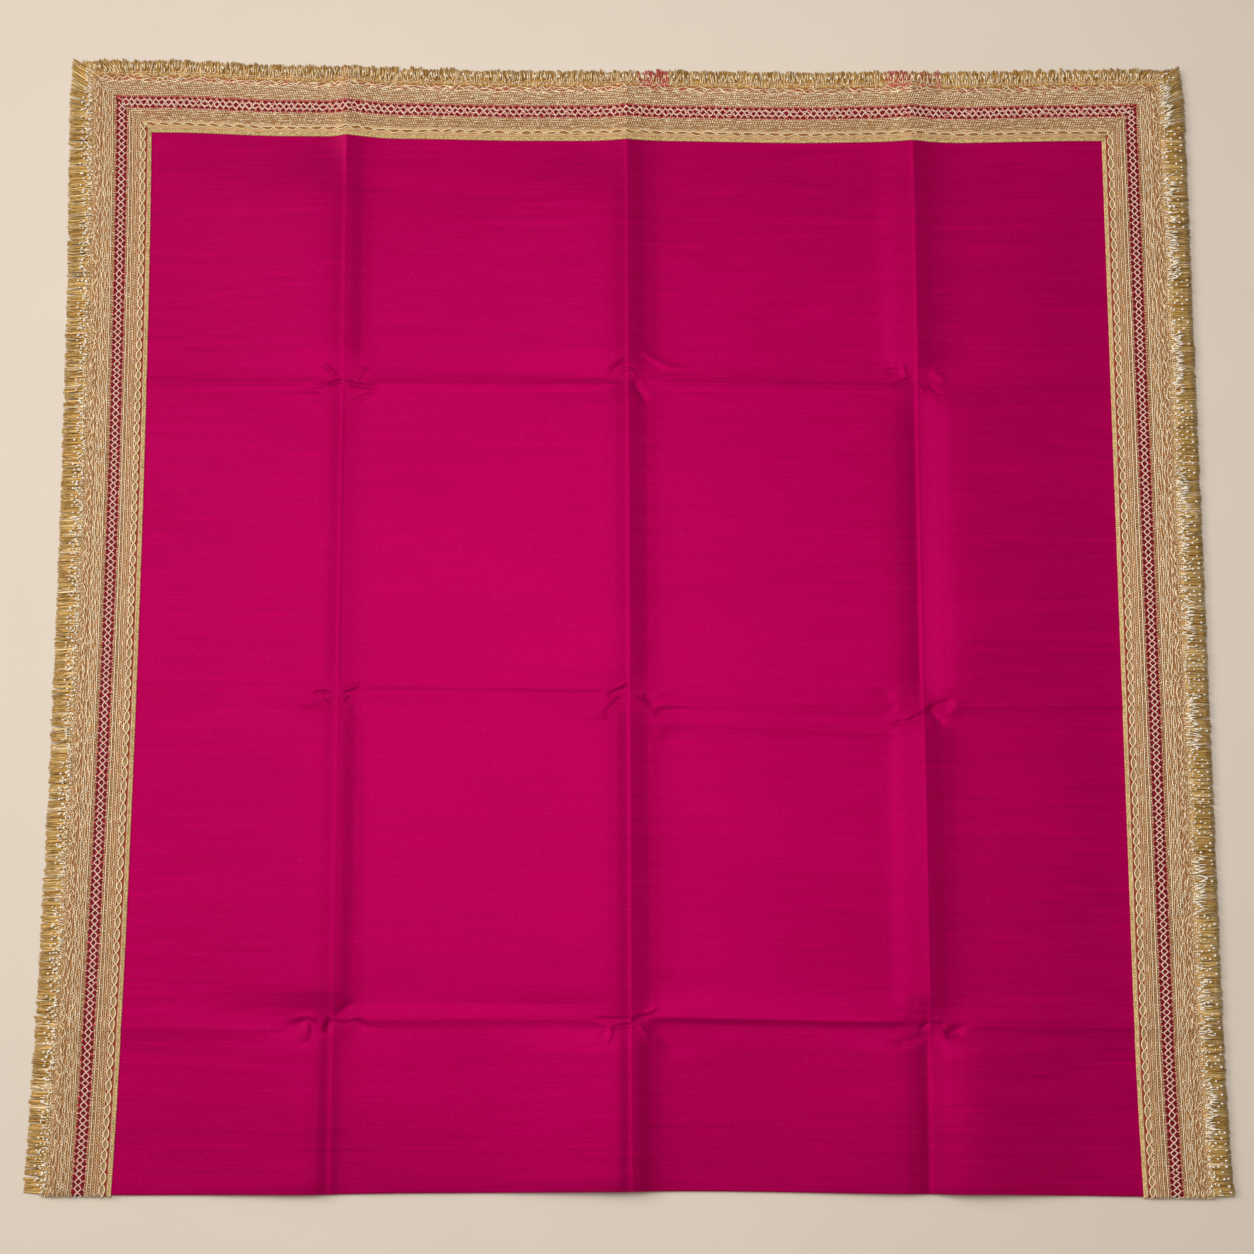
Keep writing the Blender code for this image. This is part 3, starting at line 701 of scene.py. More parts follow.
def placed(build, outputs, **inputs):
    """Places the node group that a function builds at its first use, and returns the group's results.

    The group takes a vector and numbers, and gives numbers.
    """
    group = bpy.data.node_groups.get(build.__name__)
    if group is None:
        group = bpy.data.node_groups.new(build.__name__, "ShaderNodeTree")
        for title in inputs:
            kind = "Vector" if title == "Vector" else "Float"
            group.interface.new_socket(title, in_out="INPUT", socket_type=f"NodeSocket{kind}")
        for title in outputs:
            group.interface.new_socket(title, in_out="OUTPUT", socket_type="NodeSocketFloat")
        start, end = group.nodes.new("NodeGroupInput"), group.nodes.new("NodeGroupOutput")
        results = build(*(Value(socket) for socket in start.outputs[:len(inputs)]))
        for socket, value in zip(end.inputs, results):
            feed(socket, value)
    made = put(tree_of(*inputs.values()), "Group", node_tree=group, **inputs)
    return [made.other(title) for title in outputs]


def slub_weft(vector):
    """Silk's uneven weft: thin streaks across the cloth, clouds of tone, small nubs painted bright as
    glints, and height.
    """
    fine = noise(scaled(vector, 24.0, 560.0, 40.0), Scale=1.0, Detail=3.0, Roughness=0.65, Distortion=0.6)
    long = noise(scaled(vector, 7.0, 190.0, 20.0), Scale=1.0, Detail=2.0, Roughness=0.5, Distortion=1.1)
    cloud = noise(scaled(vector, 5.0, 11.0, 5.0), Scale=1.0, Detail=2.0)
    cells = put(tree_of(vector), "TexVoronoi", Vector=scaled(vector, 300.0, 480.0, 300.0), Scale=1.0)
    chance = put(tree_of(vector), "SeparateColor", cells.other("Color"))
    chosen = reckon("GREATER_THAN", chance, ranged(cloud, 0.35, 0.65, 0.90, 0.66))
    return fine * 0.42 + long * 0.58, cloud, ranged(cells, 0.36, 0.14) * chosen, fine


def thread_twist(vector, turns):
    """Thread's own unevenness: tone from small turns of the twist and slow changes, and height."""
    fine = noise(vector, Scale=turns, Detail=2.0)
    slow = noise(vector, Scale=45.0, Detail=1.0)
    return fine * 0.6 + slow * 0.4, fine


def net_eyes(vector, pitch):
    """The net's eyes: ovals in rows, every second row half a pitch further on. Reads lengths in metres."""
    inside = put(tree_of(vector), "SeparateXYZ", vector)
    away = inside - NET_MIDDLE
    row = reckon("ROUND", away / NET_ROW)
    wide = ((away - row * NET_ROW) / 0.0021) ** 2.0
    tall = ((reckon("FRACT", inside.other(1) / pitch + row * 0.5) - 0.5) / 0.42) ** 2.0
    return (1.25 - (wide + tall)).clamped(), reckon("ABSOLUTE", away)


def braid_eyes(vector, pitch, reach):
    """The ground between the braid's cords: 1 inside the eyes, 0 in the scallops beside them."""
    inside = put(tree_of(vector), "SeparateXYZ", vector)
    away = reckon("ABSOLUTE", inside - BRAID_MIDDLE)
    cord = reckon("ABSOLUTE", reckon("SINE", inside.other(1) / pitch * math.pi)) * reach
    return reckon("LESS_THAN", away, cord), away


def new_material(name):
    """A material with nodes, and its tree."""
    made = bpy.data.materials.new(name)
    made.use_nodes = True
    return made, made.node_tree


def feed_shader(material, **inputs):
    """Feeds the inputs of a material's shader, with _ for a space in their names."""
    shader = material.node_tree.nodes["Principled BSDF"]
    for word, value in inputs.items():
        feed(shader.inputs[word.replace("_", " ")], value)
    return material


def palette(colours, *keys):
    """Some of the saree's colours as arrays."""
    return [np.array(getattr(colours, key)) for key in keys]


def silk_finish(name, colour):
    """Satin-faced art silk: slub streaks across, clouds of tone, and painted shade beside the creases."""
    made, tree = new_material(name)
    colour = np.array(colour)
    streak, cloud, nub_glint, height = placed(slub_weft, ("Streak", "Cloud", "NubGlint", "Height"),
                                        Vector=put(tree, "TexCoord").other("Object"))
    crease_shaded = put(tree, "Attribute", attribute_name="crease_shade").other("Fac")
    tone = (streak * 1.60 + cloud * 0.35 - 0.47).clamped()
    # Painted highlight: the nubs of the slubbed yarn are set much brighter than the silk, as their glint.
    plain = blended(nub_glint * 0.17, blended(tone, colour * 0.76, colour * 1.16), colour * 1.7 + 0.02)
    # Painted shade: beside the creases the silk darkens towards half its colour, by the attribute on its
    # points.
    deep = blended((crease_shaded * 0.55).clamped(), plain, colour * 0.52)
    return feed_shader(made, Base_Color=deep, Roughness=0.40 + streak * 0.22, Metallic=0.25,
                       Specular_IOR_Level=0.35, Specular_Tint=(0.9, 0.02, 0.24), Sheen_Weight=0.12,
                       Sheen_Tint=(1.0, 0.05, 0.28), Normal=bumped(height, 0.25, 0.0006))


def thread_finish(name, turns, gloss, metal):
    """Metallic thread: its dye from the piece, toned by the twist, with a soft metal gloss."""
    made, tree = new_material(name)
    tone, height = placed(thread_twist, ("Tone", "Height"), Vector=put(tree, "TexCoord").other("Object"),
                          Turns=turns)
    shade = ranged(tone, 0.25, 0.75, 0.84, 1.12)
    grey = put(tree, "CombineColor", shade, shade, shade)
    dye = blended(1.0, put(tree, "Attribute", attribute_name="dye"), grey, "MULTIPLY")
    return feed_shader(made, Base_Color=dye, Roughness=gloss + tone * 0.2, Metallic=metal,
                       Normal=bumped(height, 0.35, 0.0003))


def ramp(share, stops):
    """A colour ramp over places and colours."""
    made = put(tree_of(share), "ValToRGB", share)
    elements = made.socket.node.color_ramp.elements
    for place, _ in stops[2:]:
        elements.new(place)
    for element, (place, colour) in zip(elements, stops):
        element.position = place
        element.color = (*colour, 1.0)
    return made


def tape_finish(colours, sizes, edge):
    """The tape under the threads: bands of colour, small knots of thread, and the eyes of net and braid."""
    far = edge == "far"
    made, tree = new_material(f"knotted_tape_{edge}")
    tan, brown, blush, crimson, wine, rust, bead = palette(
        colours, "tan", "brown", "blush", "crimson", "wine", "rust", "bead")
    lengths = put(tree, "UVMap", uv_map="lengths")
    inside = put(tree, "SeparateXYZ", lengths)
    speckle = noise(lengths, Scale=950.0, Detail=1.0)
    ground = ramp(inside / LACE + (speckle - 0.5) * 0.07, (
        (0.00, brown), (0.03, tan), (0.07, brown), (0.135, brown), (0.365, brown), (0.385, rust),
        (0.400, crimson), (0.590, crimson), (0.610, rust), (0.635, brown), (0.800, brown),
        (0.935, brown), (0.950, bead), (1.0, bead)))
    knots = put(tree, "TexVoronoi", Vector=scaled(lengths, 560.0, 520.0 if far else 230.0, 1.0), Scale=1.0,
                Randomness=0.9)
    tone = put(tree, "SeparateColor", knots.other("Color"))
    pink = blended(tone.other(1) * 0.20, blended(tone * 0.40, ground, tan), blush)
    # Painted shade: each knot darkens from its middle towards its rim, into dark brown between the knots.
    knotted = blended(ranged(knots, 0.35, 0.80, 0.0, 0.70), pink, brown * 0.7)
    if far:
        knotted = red_patches(lengths, inside, knotted, rust)
    eye, away = placed(net_eyes, ("Eye", "Away"), Vector=lengths, Pitch=sizes.net_pitch)
    in_net = (ranged(away, 0.0074, 0.0055) * (0.72 + speckle * 0.5)).clamped()
    red = blended((eye * (1.1 if far else 1.8)).clamped(), crimson, wine)
    within, away = placed(braid_eyes, ("Inside", "Away"), Vector=lengths,
                          Pitch=sizes.braid_far if far else sizes.braid_side, Reach=braid_reach(far))
    scallop = blended(within, *((tan, brown) if far else (rust, tan * 0.66)))
    woven = blended(ranged(away, 0.0042, 0.0034), blended(in_net, knotted, red), scallop)
    return feed_shader(made, Base_Color=woven, Roughness=0.65, Specular_IOR_Level=0.15,
                       Normal=bumped(knots, 0.5, 0.0005, invert=True))


def red_patches(lengths, inside, colour, red):
    """Red ground that shows here and there between the far edge's wavy cords."""
    wide = noise(scaled(lengths, 8.0, 26.0, 1.0), Scale=1.0, Detail=1.0)
    band = ranged(reckon("ABSOLUTE", inside - 0.0056), 0.0028, 0.0016, 0.0, 0.85)
    return blended(ranged(wide, 0.50, 0.56) * band, colour, red * 1.25)


def floor_finish(colour):
    """Smooth pale board, with a faint mottle."""
    made, tree = new_material("pale_floor")
    mottle = noise(put(tree, "TexCoord").other("Object"), Scale=7.0, Detail=6.0)
    board = blended(ranged(mottle, 0.3, 0.7), np.array(colour) * 0.975, colour)
    return feed_shader(made, Base_Color=board, Roughness=0.85, Specular_IOR_Level=0.2)


def size_property(title, text, default, low, high):
    """A length that a user can change."""
    return bpy.props.FloatProperty(name=title, description=text, default=default, min=low, max=high,
                                   precision=5, subtype="DISTANCE", unit="LENGTH")


def colour_property(title, text, *default):
    """A colour that a user can change."""
    return bpy.props.FloatVectorProperty(name=title, description=text, default=default, size=3,
                                         min=0.0, max=1.0, subtype="COLOR")


class SareeSizes(bpy.types.PropertyGroup):
    cloth_wall: size_property("Cloth", "Thickness of the silk", 0.0006, 0.0002, 0.001)
    net_pitch: size_property("Net pitch", "Length of one eye of the red net", 0.0066, 0.004, 0.012)
    braid_side: size_property("Side braid", "Length of one eye of the side chain braids", 0.0109, 0.006, 0.02)
    braid_far: size_property("Far braid", "Length of one eye of the far chain braid", 0.0136, 0.006, 0.02)
    fringe_side: size_property("Side fringe", "Length of the fringe at both sides", 0.0205, 0.008, 0.03)
    fringe_far: size_property("Far fringe", "Length of the fringe at the far end", 0.0160, 0.008, 0.03)
    strand_pitch: size_property("Strand pitch", "Spacing of the fringe's threads", 0.00055, 0.0003, 0.002)
    strand: size_property("Strand", "Radius of a thread of the fringe", 0.00046, 0.0001, 0.001)


class SareeColours(bpy.types.PropertyGroup):
    silk: colour_property("Silk", "The cloth on top", 0.396, 0.000, 0.078)
    # Painted shade: the hidden layers are the same silk as on top, set darker.
    silk_hidden_shaded: colour_property("Hidden silk", "The folded layers beneath", 0.330, 0.000, 0.066)
    cream: colour_property("Cream thread", "The palest thread of the lace", 0.930, 0.790, 0.560)
    tan: colour_property("Tan thread", "The common thread of the lace", 0.600, 0.375, 0.175)
    blush: colour_property("Blush thread", "The pinkish thread of the lace", 0.800, 0.450, 0.270)
    brown: colour_property("Brown gaps", "The gaps between threads", 0.340, 0.140, 0.038)
    crimson: colour_property("Crimson", "The ground of the net", 0.500, 0.008, 0.034)
    wine: colour_property("Wine", "The eyes of the net", 0.130, 0.001, 0.008)
    rust: colour_property("Rust", "The scallops beside the chain braid", 0.320, 0.045, 0.022)
    ring: colour_property("Net thread", "The pale thread of the net", 1.000, 0.850, 0.690)
    bead: colour_property("Bead gold", "The knots along the inner edge", 0.740, 0.590, 0.270)
    # The fringe's golds: deep for the painted shade towards the roots, pale for the painted light at the
    # tips.
    fringe: colour_property("Fringe gold", "The fringe", 0.580, 0.350, 0.090)
    fringe_deep: colour_property("Fringe brown", "The shaded threads of the fringe", 0.390, 0.190, 0.030)
    fringe_pale: colour_property("Fringe tips", "The palest threads of the fringe", 0.840, 0.620, 0.290)
    # Painted highlight: the white of the curls, dots and pale strands that stand for the metallic glints.
    glint: colour_property("Glints", "The white curls in the fringe", 1.000, 0.930, 0.810)
    floor: colour_property("Floor", "The surface beneath", 0.740, 0.650, 0.550)


class Maker:
    """What all the operators share: they make their pieces from the scene's sizes and colours."""

    def execute(self, context):
        self.make(context.scene.saree_sizes, context.scene.saree_colours)
        return {"FINISHED"}


def crease_lines():
    """Nominal places of the creases, across and along."""
    return across_places()[1:-1], along_places()[1:-1]


class SAREE_OT_cloth(Maker, bpy.types.Operator):
    """The stretch on top: a thin shell, crowned and creased, that turns under at the near fold"""
    bl_idname = "saree.cloth"
    bl_label = "Silk on top"

    def make(self, sizes, colours):
        across, along = crease_lines()
        columns = graded(-HALF_WIDTH, HALF_WIDTH, across, *GRID, 0.017, 0.050)
        rows = graded(NEAR, FAR, along, *GRID, 0.018, 0.045)
        round_fold = NEAR - NOSE_ARC * np.linspace(math.pi, 0.0, 12)[:-1]
        rows = np.concatenate((round_fold, rows))
        sides = []
        for lift in (0.0, -sizes.cloth_wall):
            side = on_cloth(columns[None, :], rows[:, None], lift)
            sides.append(np.concatenate((side[:1] + (0.0, FLAP, 0.0), side)))
        points, quads = shell(*sides)
        crease_shade = self.crease_shade(columns[None, :], np.concatenate((rows[:1], rows))[:, None])
        piece = make_piece("silk_top", points, [quads], silk_finish("pink_silk", colours.silk),
                           crease_shade=np.tile(crease_shade.ravel(), 2))
        dress(piece, "pink_silk", "top_stretch")

    def crease_shade(self, x, y):
        """Painted shade along the creases: most just right of each long crease, less left of it and none on
        its crest line, and a little on the near side of each cross crease.
        """
        across, along = crease_lines()
        lay = np.zeros(np.broadcast(x, y).shape)
        for line in across:
            for strength, beyond, breadth in ((0.45, -0.007, 0.012), (0.30, 0.010, 0.008),
                                              (-0.50, 0.0004, 0.0020)):
                lay = lay + strength * np.exp(-((x - line + beyond) / breadth) ** 2)
        for line in along:
            lay = lay + 0.20 * np.exp(-((y - line + 0.004) / 0.004) ** 2)
        return lay


class SAREE_OT_layers(Maker, bpy.types.Operator):
    """The hidden stretch: four folded layers of silk with slightly slipped edges"""
    bl_idname = "saree.layers"
    bl_label = "Folded layers"

    def make(self, sizes, colours):
        rng = np.random.default_rng(11)
        points, faces, count = [], [], 0
        for layer in range(LAYERS):
            slab, quads, caps = self.slab(layer, rng)
            points.append(slab)
            faces += [quads + count, *(cap + count for cap in caps)]
            count += len(slab)
        piece = make_piece("silk_layers", np.concatenate(points), faces,
                           silk_finish("pink_silk_hidden", colours.silk_hidden_shaded), crease_shade=np.zeros(count))
        dress(piece, "pink_silk_hidden", "folded_stretch")

    def slab(self, layer, rng):
        """One layer: its outline carried round a rounded edge, filled above and below."""
        x, y = self.outline(rng.uniform(0.0, 0.0016, 4))
        ring = np.linspace(-math.pi / 2, math.pi / 2, 7)
        inset = (1.0 - np.cos(ring)) * LAYER / 2
        heights = (layer + 0.5 + 0.48 * np.sin(ring)) * LAYER
        middle = (NEAR + FAR) / 2
        wave = wander(np.arctan2(y, x), rng, 0.4, 0.00025)
        factor = 1.0 - (inset[:, None] + wave) / np.hypot(x, y - middle)
        x, y = x * factor, middle + (y - middle) * factor
        points = np.stack((lay_x(x, y), lay_y(x, y), np.broadcast_to(heights[:, None], x.shape)), axis=-1)
        rings, around = x.shape
        quads = grid_faces(rings, around, closed=True)
        caps = [np.arange(around)[None, ::-1], (np.arange(around) + (rings - 1) * around)[None]]
        return points.reshape(-1, 3), quads, caps

    def outline(self, slip):
        """Corners of a layer joined by straight edges, as nominal x and y."""
        left, right = -HALF_WIDTH + STACK_INSET + slip[0], HALF_WIDTH - STACK_INSET - slip[1]
        near, far = NEAR + STACK_NEAR + slip[2], FAR - STACK_INSET_FAR - slip[3]
        turn = 0.010
        quarter = np.linspace(0, math.pi / 2, 6)
        places = []
        for x, y, start in ((right, far, 0.0), (left, far, 0.5), (left, near, 1.0), (right, near, 1.5)):
            middle = np.array([x - math.copysign(turn, x), y - math.copysign(turn, y)])
            angle = quarter + start * math.pi
            places.append(middle + turn * np.stack((np.cos(angle), np.sin(angle)), axis=1))
        filled = []
        for number, corner in enumerate(places):
            ahead = places[(number + 1) % 4][0]
            share = np.linspace(0, 1, 30)[1:-1, None]
            filled += [corner, corner[-1] + (ahead - corner[-1]) * share]
        return np.concatenate(filled).T


class SAREE_OT_tape(Maker, bpy.types.Operator):
    """The lace tapes on both sides and across the far end, mitred at the far corners"""
    bl_idname = "saree.tape"
    bl_label = "Lace tapes"

    def make(self, sizes, colours):
        rim, low = 0.0006, 0.0003
        inside = np.sort(np.concatenate((np.linspace(0.0, LACE, 13), [rim, LACE - rim])))
        height = low + (TAPE - low) * np.clip(np.minimum(inside, LACE - inside) / rim, 0.0, 1.0)
        for trim in trims(0):
            start, end = np.array([trim.ends(place) for place in inside]).T
            bend = np.zeros((0, 1))
            if not trim.far:
                start = np.full_like(inside, NEAR)
                bend = NEAR - LACE_TURN * NOSE_ARC * np.linspace(1.0, 0.0, 9)[:-1, None]
            along = start + (end - start) * np.linspace(0.0, 1.0, 190)[:, None]
            along = np.concatenate((np.broadcast_to(bend, (len(bend), len(inside))), along))
            outer = trim.point(along, inside[None], height[None])
            inner = trim.point(along, inside[None], 0.0001)
            uv = np.stack((np.broadcast_to(inside, along.shape), along + trim.drift(along)), axis=-1)
            if trim.far:
                outer, inner, uv = outer[:, ::-1], inner[:, ::-1], uv[:, ::-1]
            points, quads = shell(outer, inner)
            if trim.edge == "right":
                quads = quads[:, ::-1]
            look = tape_finish(colours, sizes, trim.edge)
            piece = make_piece(f"lace_tape_{trim.edge}", points, [quads], look,
                               lengths=np.tile(uv.reshape(-1, 2), (2, 1)))
            dress(piece, "gold_lace", f"lace_{trim.edge}")


class SAREE_OT_net(Maker, bpy.types.Operator):
    """The red net's threads: a chain of rings along the middle, short threads leading out from it, and at
    the far end a zigzag thread to either side
    """
    bl_idname = "saree.net"
    bl_label = "Net threads"

    def make(self, sizes, colours):
        look = thread_finish("net_thread", 900.0, 0.45, 0.1)
        pale, warm = palette(colours, "ring", "blush")
        pitch = sizes.net_pitch
        for trim in trims(20):
            loose = 0.35
            waves = [(0, -0.0030, 0.00064), (0, 0.0030, 0.00064)]
            if trim.far:
                loose = 0.8
                waves += [(-1, 0.0024, 0.00052), (1, -0.0024, 0.00052)]
            for row, reach, radius in waves:
                wave = self.wave(trim, pitch, row, reach, loose)
                dyes = (pale, pale * 0.92) if row == 0 else (pale * 0.95, warm)
                trim.lay(NET_MIDDLE + row * NET_ROW, 0.0009, wave, steady(radius * 0.5), radius, dyes)
            self.spokes(trim, pitch, (warm * (0.95, 0.72, 0.72), pale * 0.90))
            self.rays(trim, pitch, (warm * (0.80, 0.45, 0.45), pale * 0.80))
            trim.finish("lace_net", look, "gold_lace")

    def spokes(self, trim, pitch, dyes):
        """Threads from each ring's widest points out to the net's sides, which part the eyes there."""
        dense = trim.run(NET_MIDDLE, 0.001)
        turns = (dense + trim.drift(dense)) / pitch
        along = np.interp(np.arange(math.ceil(turns[0]), turns[-1] - 1.0) + 0.5, turns, dense)
        count, rng = len(along), trim.rng
        for side in (-1.0, 1.0):
            self.short_threads(trim, along + rng.normal(0.0, pitch / 20, count), side,
                               np.full(count, 0.0026), rng.uniform(0.0032, 0.0044, count),
                               rng.normal(0.0, 0.25, count), 0.00046, dyes)

    def rays(self, trim, pitch, dyes):
        """Short slanting threads along both sides of the net."""
        for side in (-1.0, 1.0):
            along = trim.run(NET_MIDDLE, pitch / 2.6)
            count, rng = len(along), trim.rng
            along = along + rng.normal(0.0, pitch / 14, count)
            slant = rng.choice([-1.0, 1.0], count) * rng.uniform(0.2, 0.9, count)
            self.short_threads(trim, along, side, rng.uniform(0.0050, 0.0060, count),
                               rng.uniform(0.0012, 0.0022, count), slant, 0.00044, dyes)

    def short_threads(self, trim, along, side, start, reach, slant, radius, dyes):
        """Straight threads that lead away from the net's middle."""
        steps = np.array([0.0, 0.5, 1.0])
        inside = NET_MIDDLE + side * (start[:, None] + reach[:, None] * steps)
        beside = along[:, None] + (reach * slant)[:, None] * steps
        path = trim.point(beside, inside, TAPE + radius * 0.5)
        dye = mixed(dyes, trim.rng.random((len(along), 1)))
        ups = trim.outward(np.repeat(along[:, None], 3, axis=1))
        trim.threads(path, ups, radius, dye[:, None])

    def wave(self, trim, pitch, row, reach, loose):
        """Out to the side round each eye, and back to the middle between two eyes."""
        seed = new_seed(trim.rng)

        def offset(along):
            uneven = np.random.default_rng(seed)
            turns = (along + trim.drift(along)) / pitch + 0.5 * row
            turns = turns + wander(along, uneven, 0.015, 0.16 * loose)
            swell = 0.5 + 0.5 * np.cos(2 * math.pi * (turns - 0.5))
            size = reach * (1.0 + wander(along, uneven, 0.012, 0.30 * loose))
            return size * swell ** 0.65 + wander(along, uneven, 0.009, 0.0005 * loose)
        return offset


class SAREE_OT_threads(Maker, bpy.types.Operator):
    """The lengthwise threads or knots, the wavy header cords and the small knots at the fringe's roots"""
    bl_idname = "saree.threads"
    bl_label = "Lengthwise threads"

    def make(self, sizes, colours):
        look = thread_finish("lace_thread", 700.0, 0.34, 0.25)
        cream, tan, blush, brown = palette(colours, "cream", "tan", "blush", "brown")
        light, golden, warm = (cream * 1.12, cream), (cream * 1.08, tan * 1.35), (tan * 1.3, blush * 1.1)
        # Threads: distance in, sway, dyes and radius
        side_lines = (
            (0.0111, 0.0007, golden, 0.00060), (0.0133, 0.0007, light, 0.00062),
            (0.0155, 0.0007, golden, 0.00060), (0.0176, 0.0006, golden, 0.00060),
            (0.0196, 0.0004, golden, 0.00058), (0.0215, 0.00010, light, 0.00066),
            (0.0398, 0.00010, light, 0.00066), (0.0434, 0.00015, light, 0.00062),
            (0.0453, 0.00020, warm, 0.00056), (0.0473, 0.00020, golden, 0.00056),
            (0.0493, 0.00020, warm[::-1], 0.00056), (0.0513, 0.00010, (cream, blush), 0.00060),
            (0.0596, 0.00010, (cream, blush), 0.00055),
        )
        far_lines = (
            (0.0098, 0.00040, (cream, tan), 0.00055), (0.0402, 0.00030, (tan, cream), 0.00050),
            (0.0596, 0.00020, (cream, tan), 0.00045),
        )
        # Bands of knots: from and to which distance in, distance between rows, and tone
        side_knots = ((0.0122, 0.0190, 0.0022, 0.58), (0.0232, 0.0256, 0.0016, 0.58),
                      (0.0380, 0.0388, 0.0016, 0.50), (0.0416, 0.0420, 0.0020, 0.50),
                      (0.0463, 0.0507, 0.0020, 0.50))
        far_knots = ((0.0112, 0.0242, 0.0020, 0.92), (0.0385, 0.0515, 0.0020, 0.74))
        for trim in trims(40):
            for order, (inside, sway, dyes, radius) in enumerate(far_lines if trim.far else side_lines):
                seed = new_seed(trim.rng)
                trim.lay(inside, 0.0026, self.wave(sway, order, seed), self.level(radius, seed), radius, dyes)
            for *band, tone in far_knots if trim.far else side_knots:
                self.knots(trim, band, tone, (brown * (1.5, 1.9, 2.4), tan, cream))
            self.header(trim, (cream, tan, blush, brown))
            trim.finish("lace_threads", look, "gold_lace")

    def knots(self, trim, band, tone, dyes):
        """Rows of oval knots, each row half a knot on from the last, with light and dark stretches."""
        rng = trim.rng
        pitch, radius, long = (0.0025, 0.00112, 1.2) if trim.far else (0.0028, 0.00092, 1.8)
        for order, inside in enumerate(np.arange(*band)):
            along = trim.run(inside, pitch) + pitch / 2 * (order % 2)
            share = tone + 0.10 * (-1) ** order + wander(along, rng, 0.016, 0.14)
            share = np.clip(share + rng.normal(0.0, 0.12, len(along)), 0.0, 1.0)
            stray = inside + wander(along, rng, 0.02, 0.0004) + rng.normal(0.0, 0.0001, len(along))
            trim.set_knots((along, stray), 0.0002, radius, toned(dyes, share[:, None]), long)

    def wave(self, sway, order, seed):
        """Neighbours bend away from each other and back, which leaves small openings between them."""
        def offset(along):
            rng = np.random.default_rng(seed)
            swell = ease(0.6 + wander(along, rng, 0.05, 0.6))
            swing = (-1) ** order * sway * np.sin(2 * math.pi * along / 0.0105) * swell
            return swing + wander(along, rng, 0.03, sway * 0.7)
        return offset

    def level(self, radius, seed):
        """Threads rise and sink a little in the tape."""
        return lambda along: radius + wander(along, seed + 1, 0.012, radius * 0.30)

    def header(self, trim, dyes):
        """Small knots along the edge, and wavy cords that cross each other just inside them."""
        # Painted shade: the far edge's header threads are set 8 % darker.
        cream, tan, blush, brown = (dye * (0.92 if trim.far else 1.0) for dye in dyes)
        root = -0.0008 if trim.far else -0.0032
        trim.set_knots(trim.strewn(root, 0.0030, 0.0023), 0.0004, 0.00105, (tan * 1.15, cream * 1.1))
        trim.set_knots(trim.strewn(0.0046, 0.0088, 0.0024), -0.0002, 0.00105, (brown * 1.3, tan * 1.1))
        self.squiggles(trim, 480, (root - 0.0008, 0.0090), (cream * 1.1, tan * 1.2))
        thick, dark = 0.00066, tan
        # Cords: distance in, sway, pitch and turn
        cords = ((0.0050, 0.0014, 0.0165, 0.0), (0.0064, 0.0014, 0.0215, 2.1),
                 (0.0084, 0.0008, 0.0120, 4.0))
        if trim.far:
            for band in ((0.0110, 0.0240), (0.0390, 0.0510)):
                self.squiggles(trim, 90, band, (cream * 1.1, cream), 0.35)
            thick, dark = 0.00086, blush
            cords = ((0.0052, 0.0013, 0.0132, 0.0), (0.0072, 0.0014, 0.0138, 0.5),
                     (0.0092, 0.0009, 0.0210, 2.0))
        for inside, *swing in cords:
            offset = self.cord(*swing, new_seed(trim.rng))
            trim.lay(inside, 0.0018, offset, steady(0.0006), thick, (cream * 1.12, dark))

    def cord(self, sway, pitch, turn, seed):
        """A sine wave whose phase and size wander."""
        def offset(along):
            rng = np.random.default_rng(seed)
            phase = 2 * math.pi * along / pitch + turn + wander(along, rng, 0.05, 1.9)
            size = sway * (1.0 + wander(along, rng, 0.03, 0.6))
            return size * np.sin(phase) + wander(along, rng, 0.006, 0.00040)
        return offset

    def squiggles(self, trim, count, band, dyes, lean=0.9):
        """Short curls of thread strewn over a band of the lace: over the header, into the fringe's roots."""
        rng = trim.rng
        along = spread(*trim.ends(max(band)), count, rng)
        inside = rng.uniform(*band, count)
        steps = np.linspace(-1.0, 1.0, 6)
        bend = rng.uniform(-3.9, 3.9, count) * lean
        heading = rng.normal(0.0, lean, count)[:, None] + bend[:, None] * steps / 2
        way = curled(heading, rng.uniform(0.0030, 0.0064, count))
        along = along[:, None] + way[..., 0]
        path = trim.point(along, inside[:, None] + way[..., 1], TAPE + 0.0006)
        dye = mixed(dyes, rng.random((count, 1)))
        trim.threads(path, trim.outward(along), 0.00062 * tapered(steps), dye[:, None])


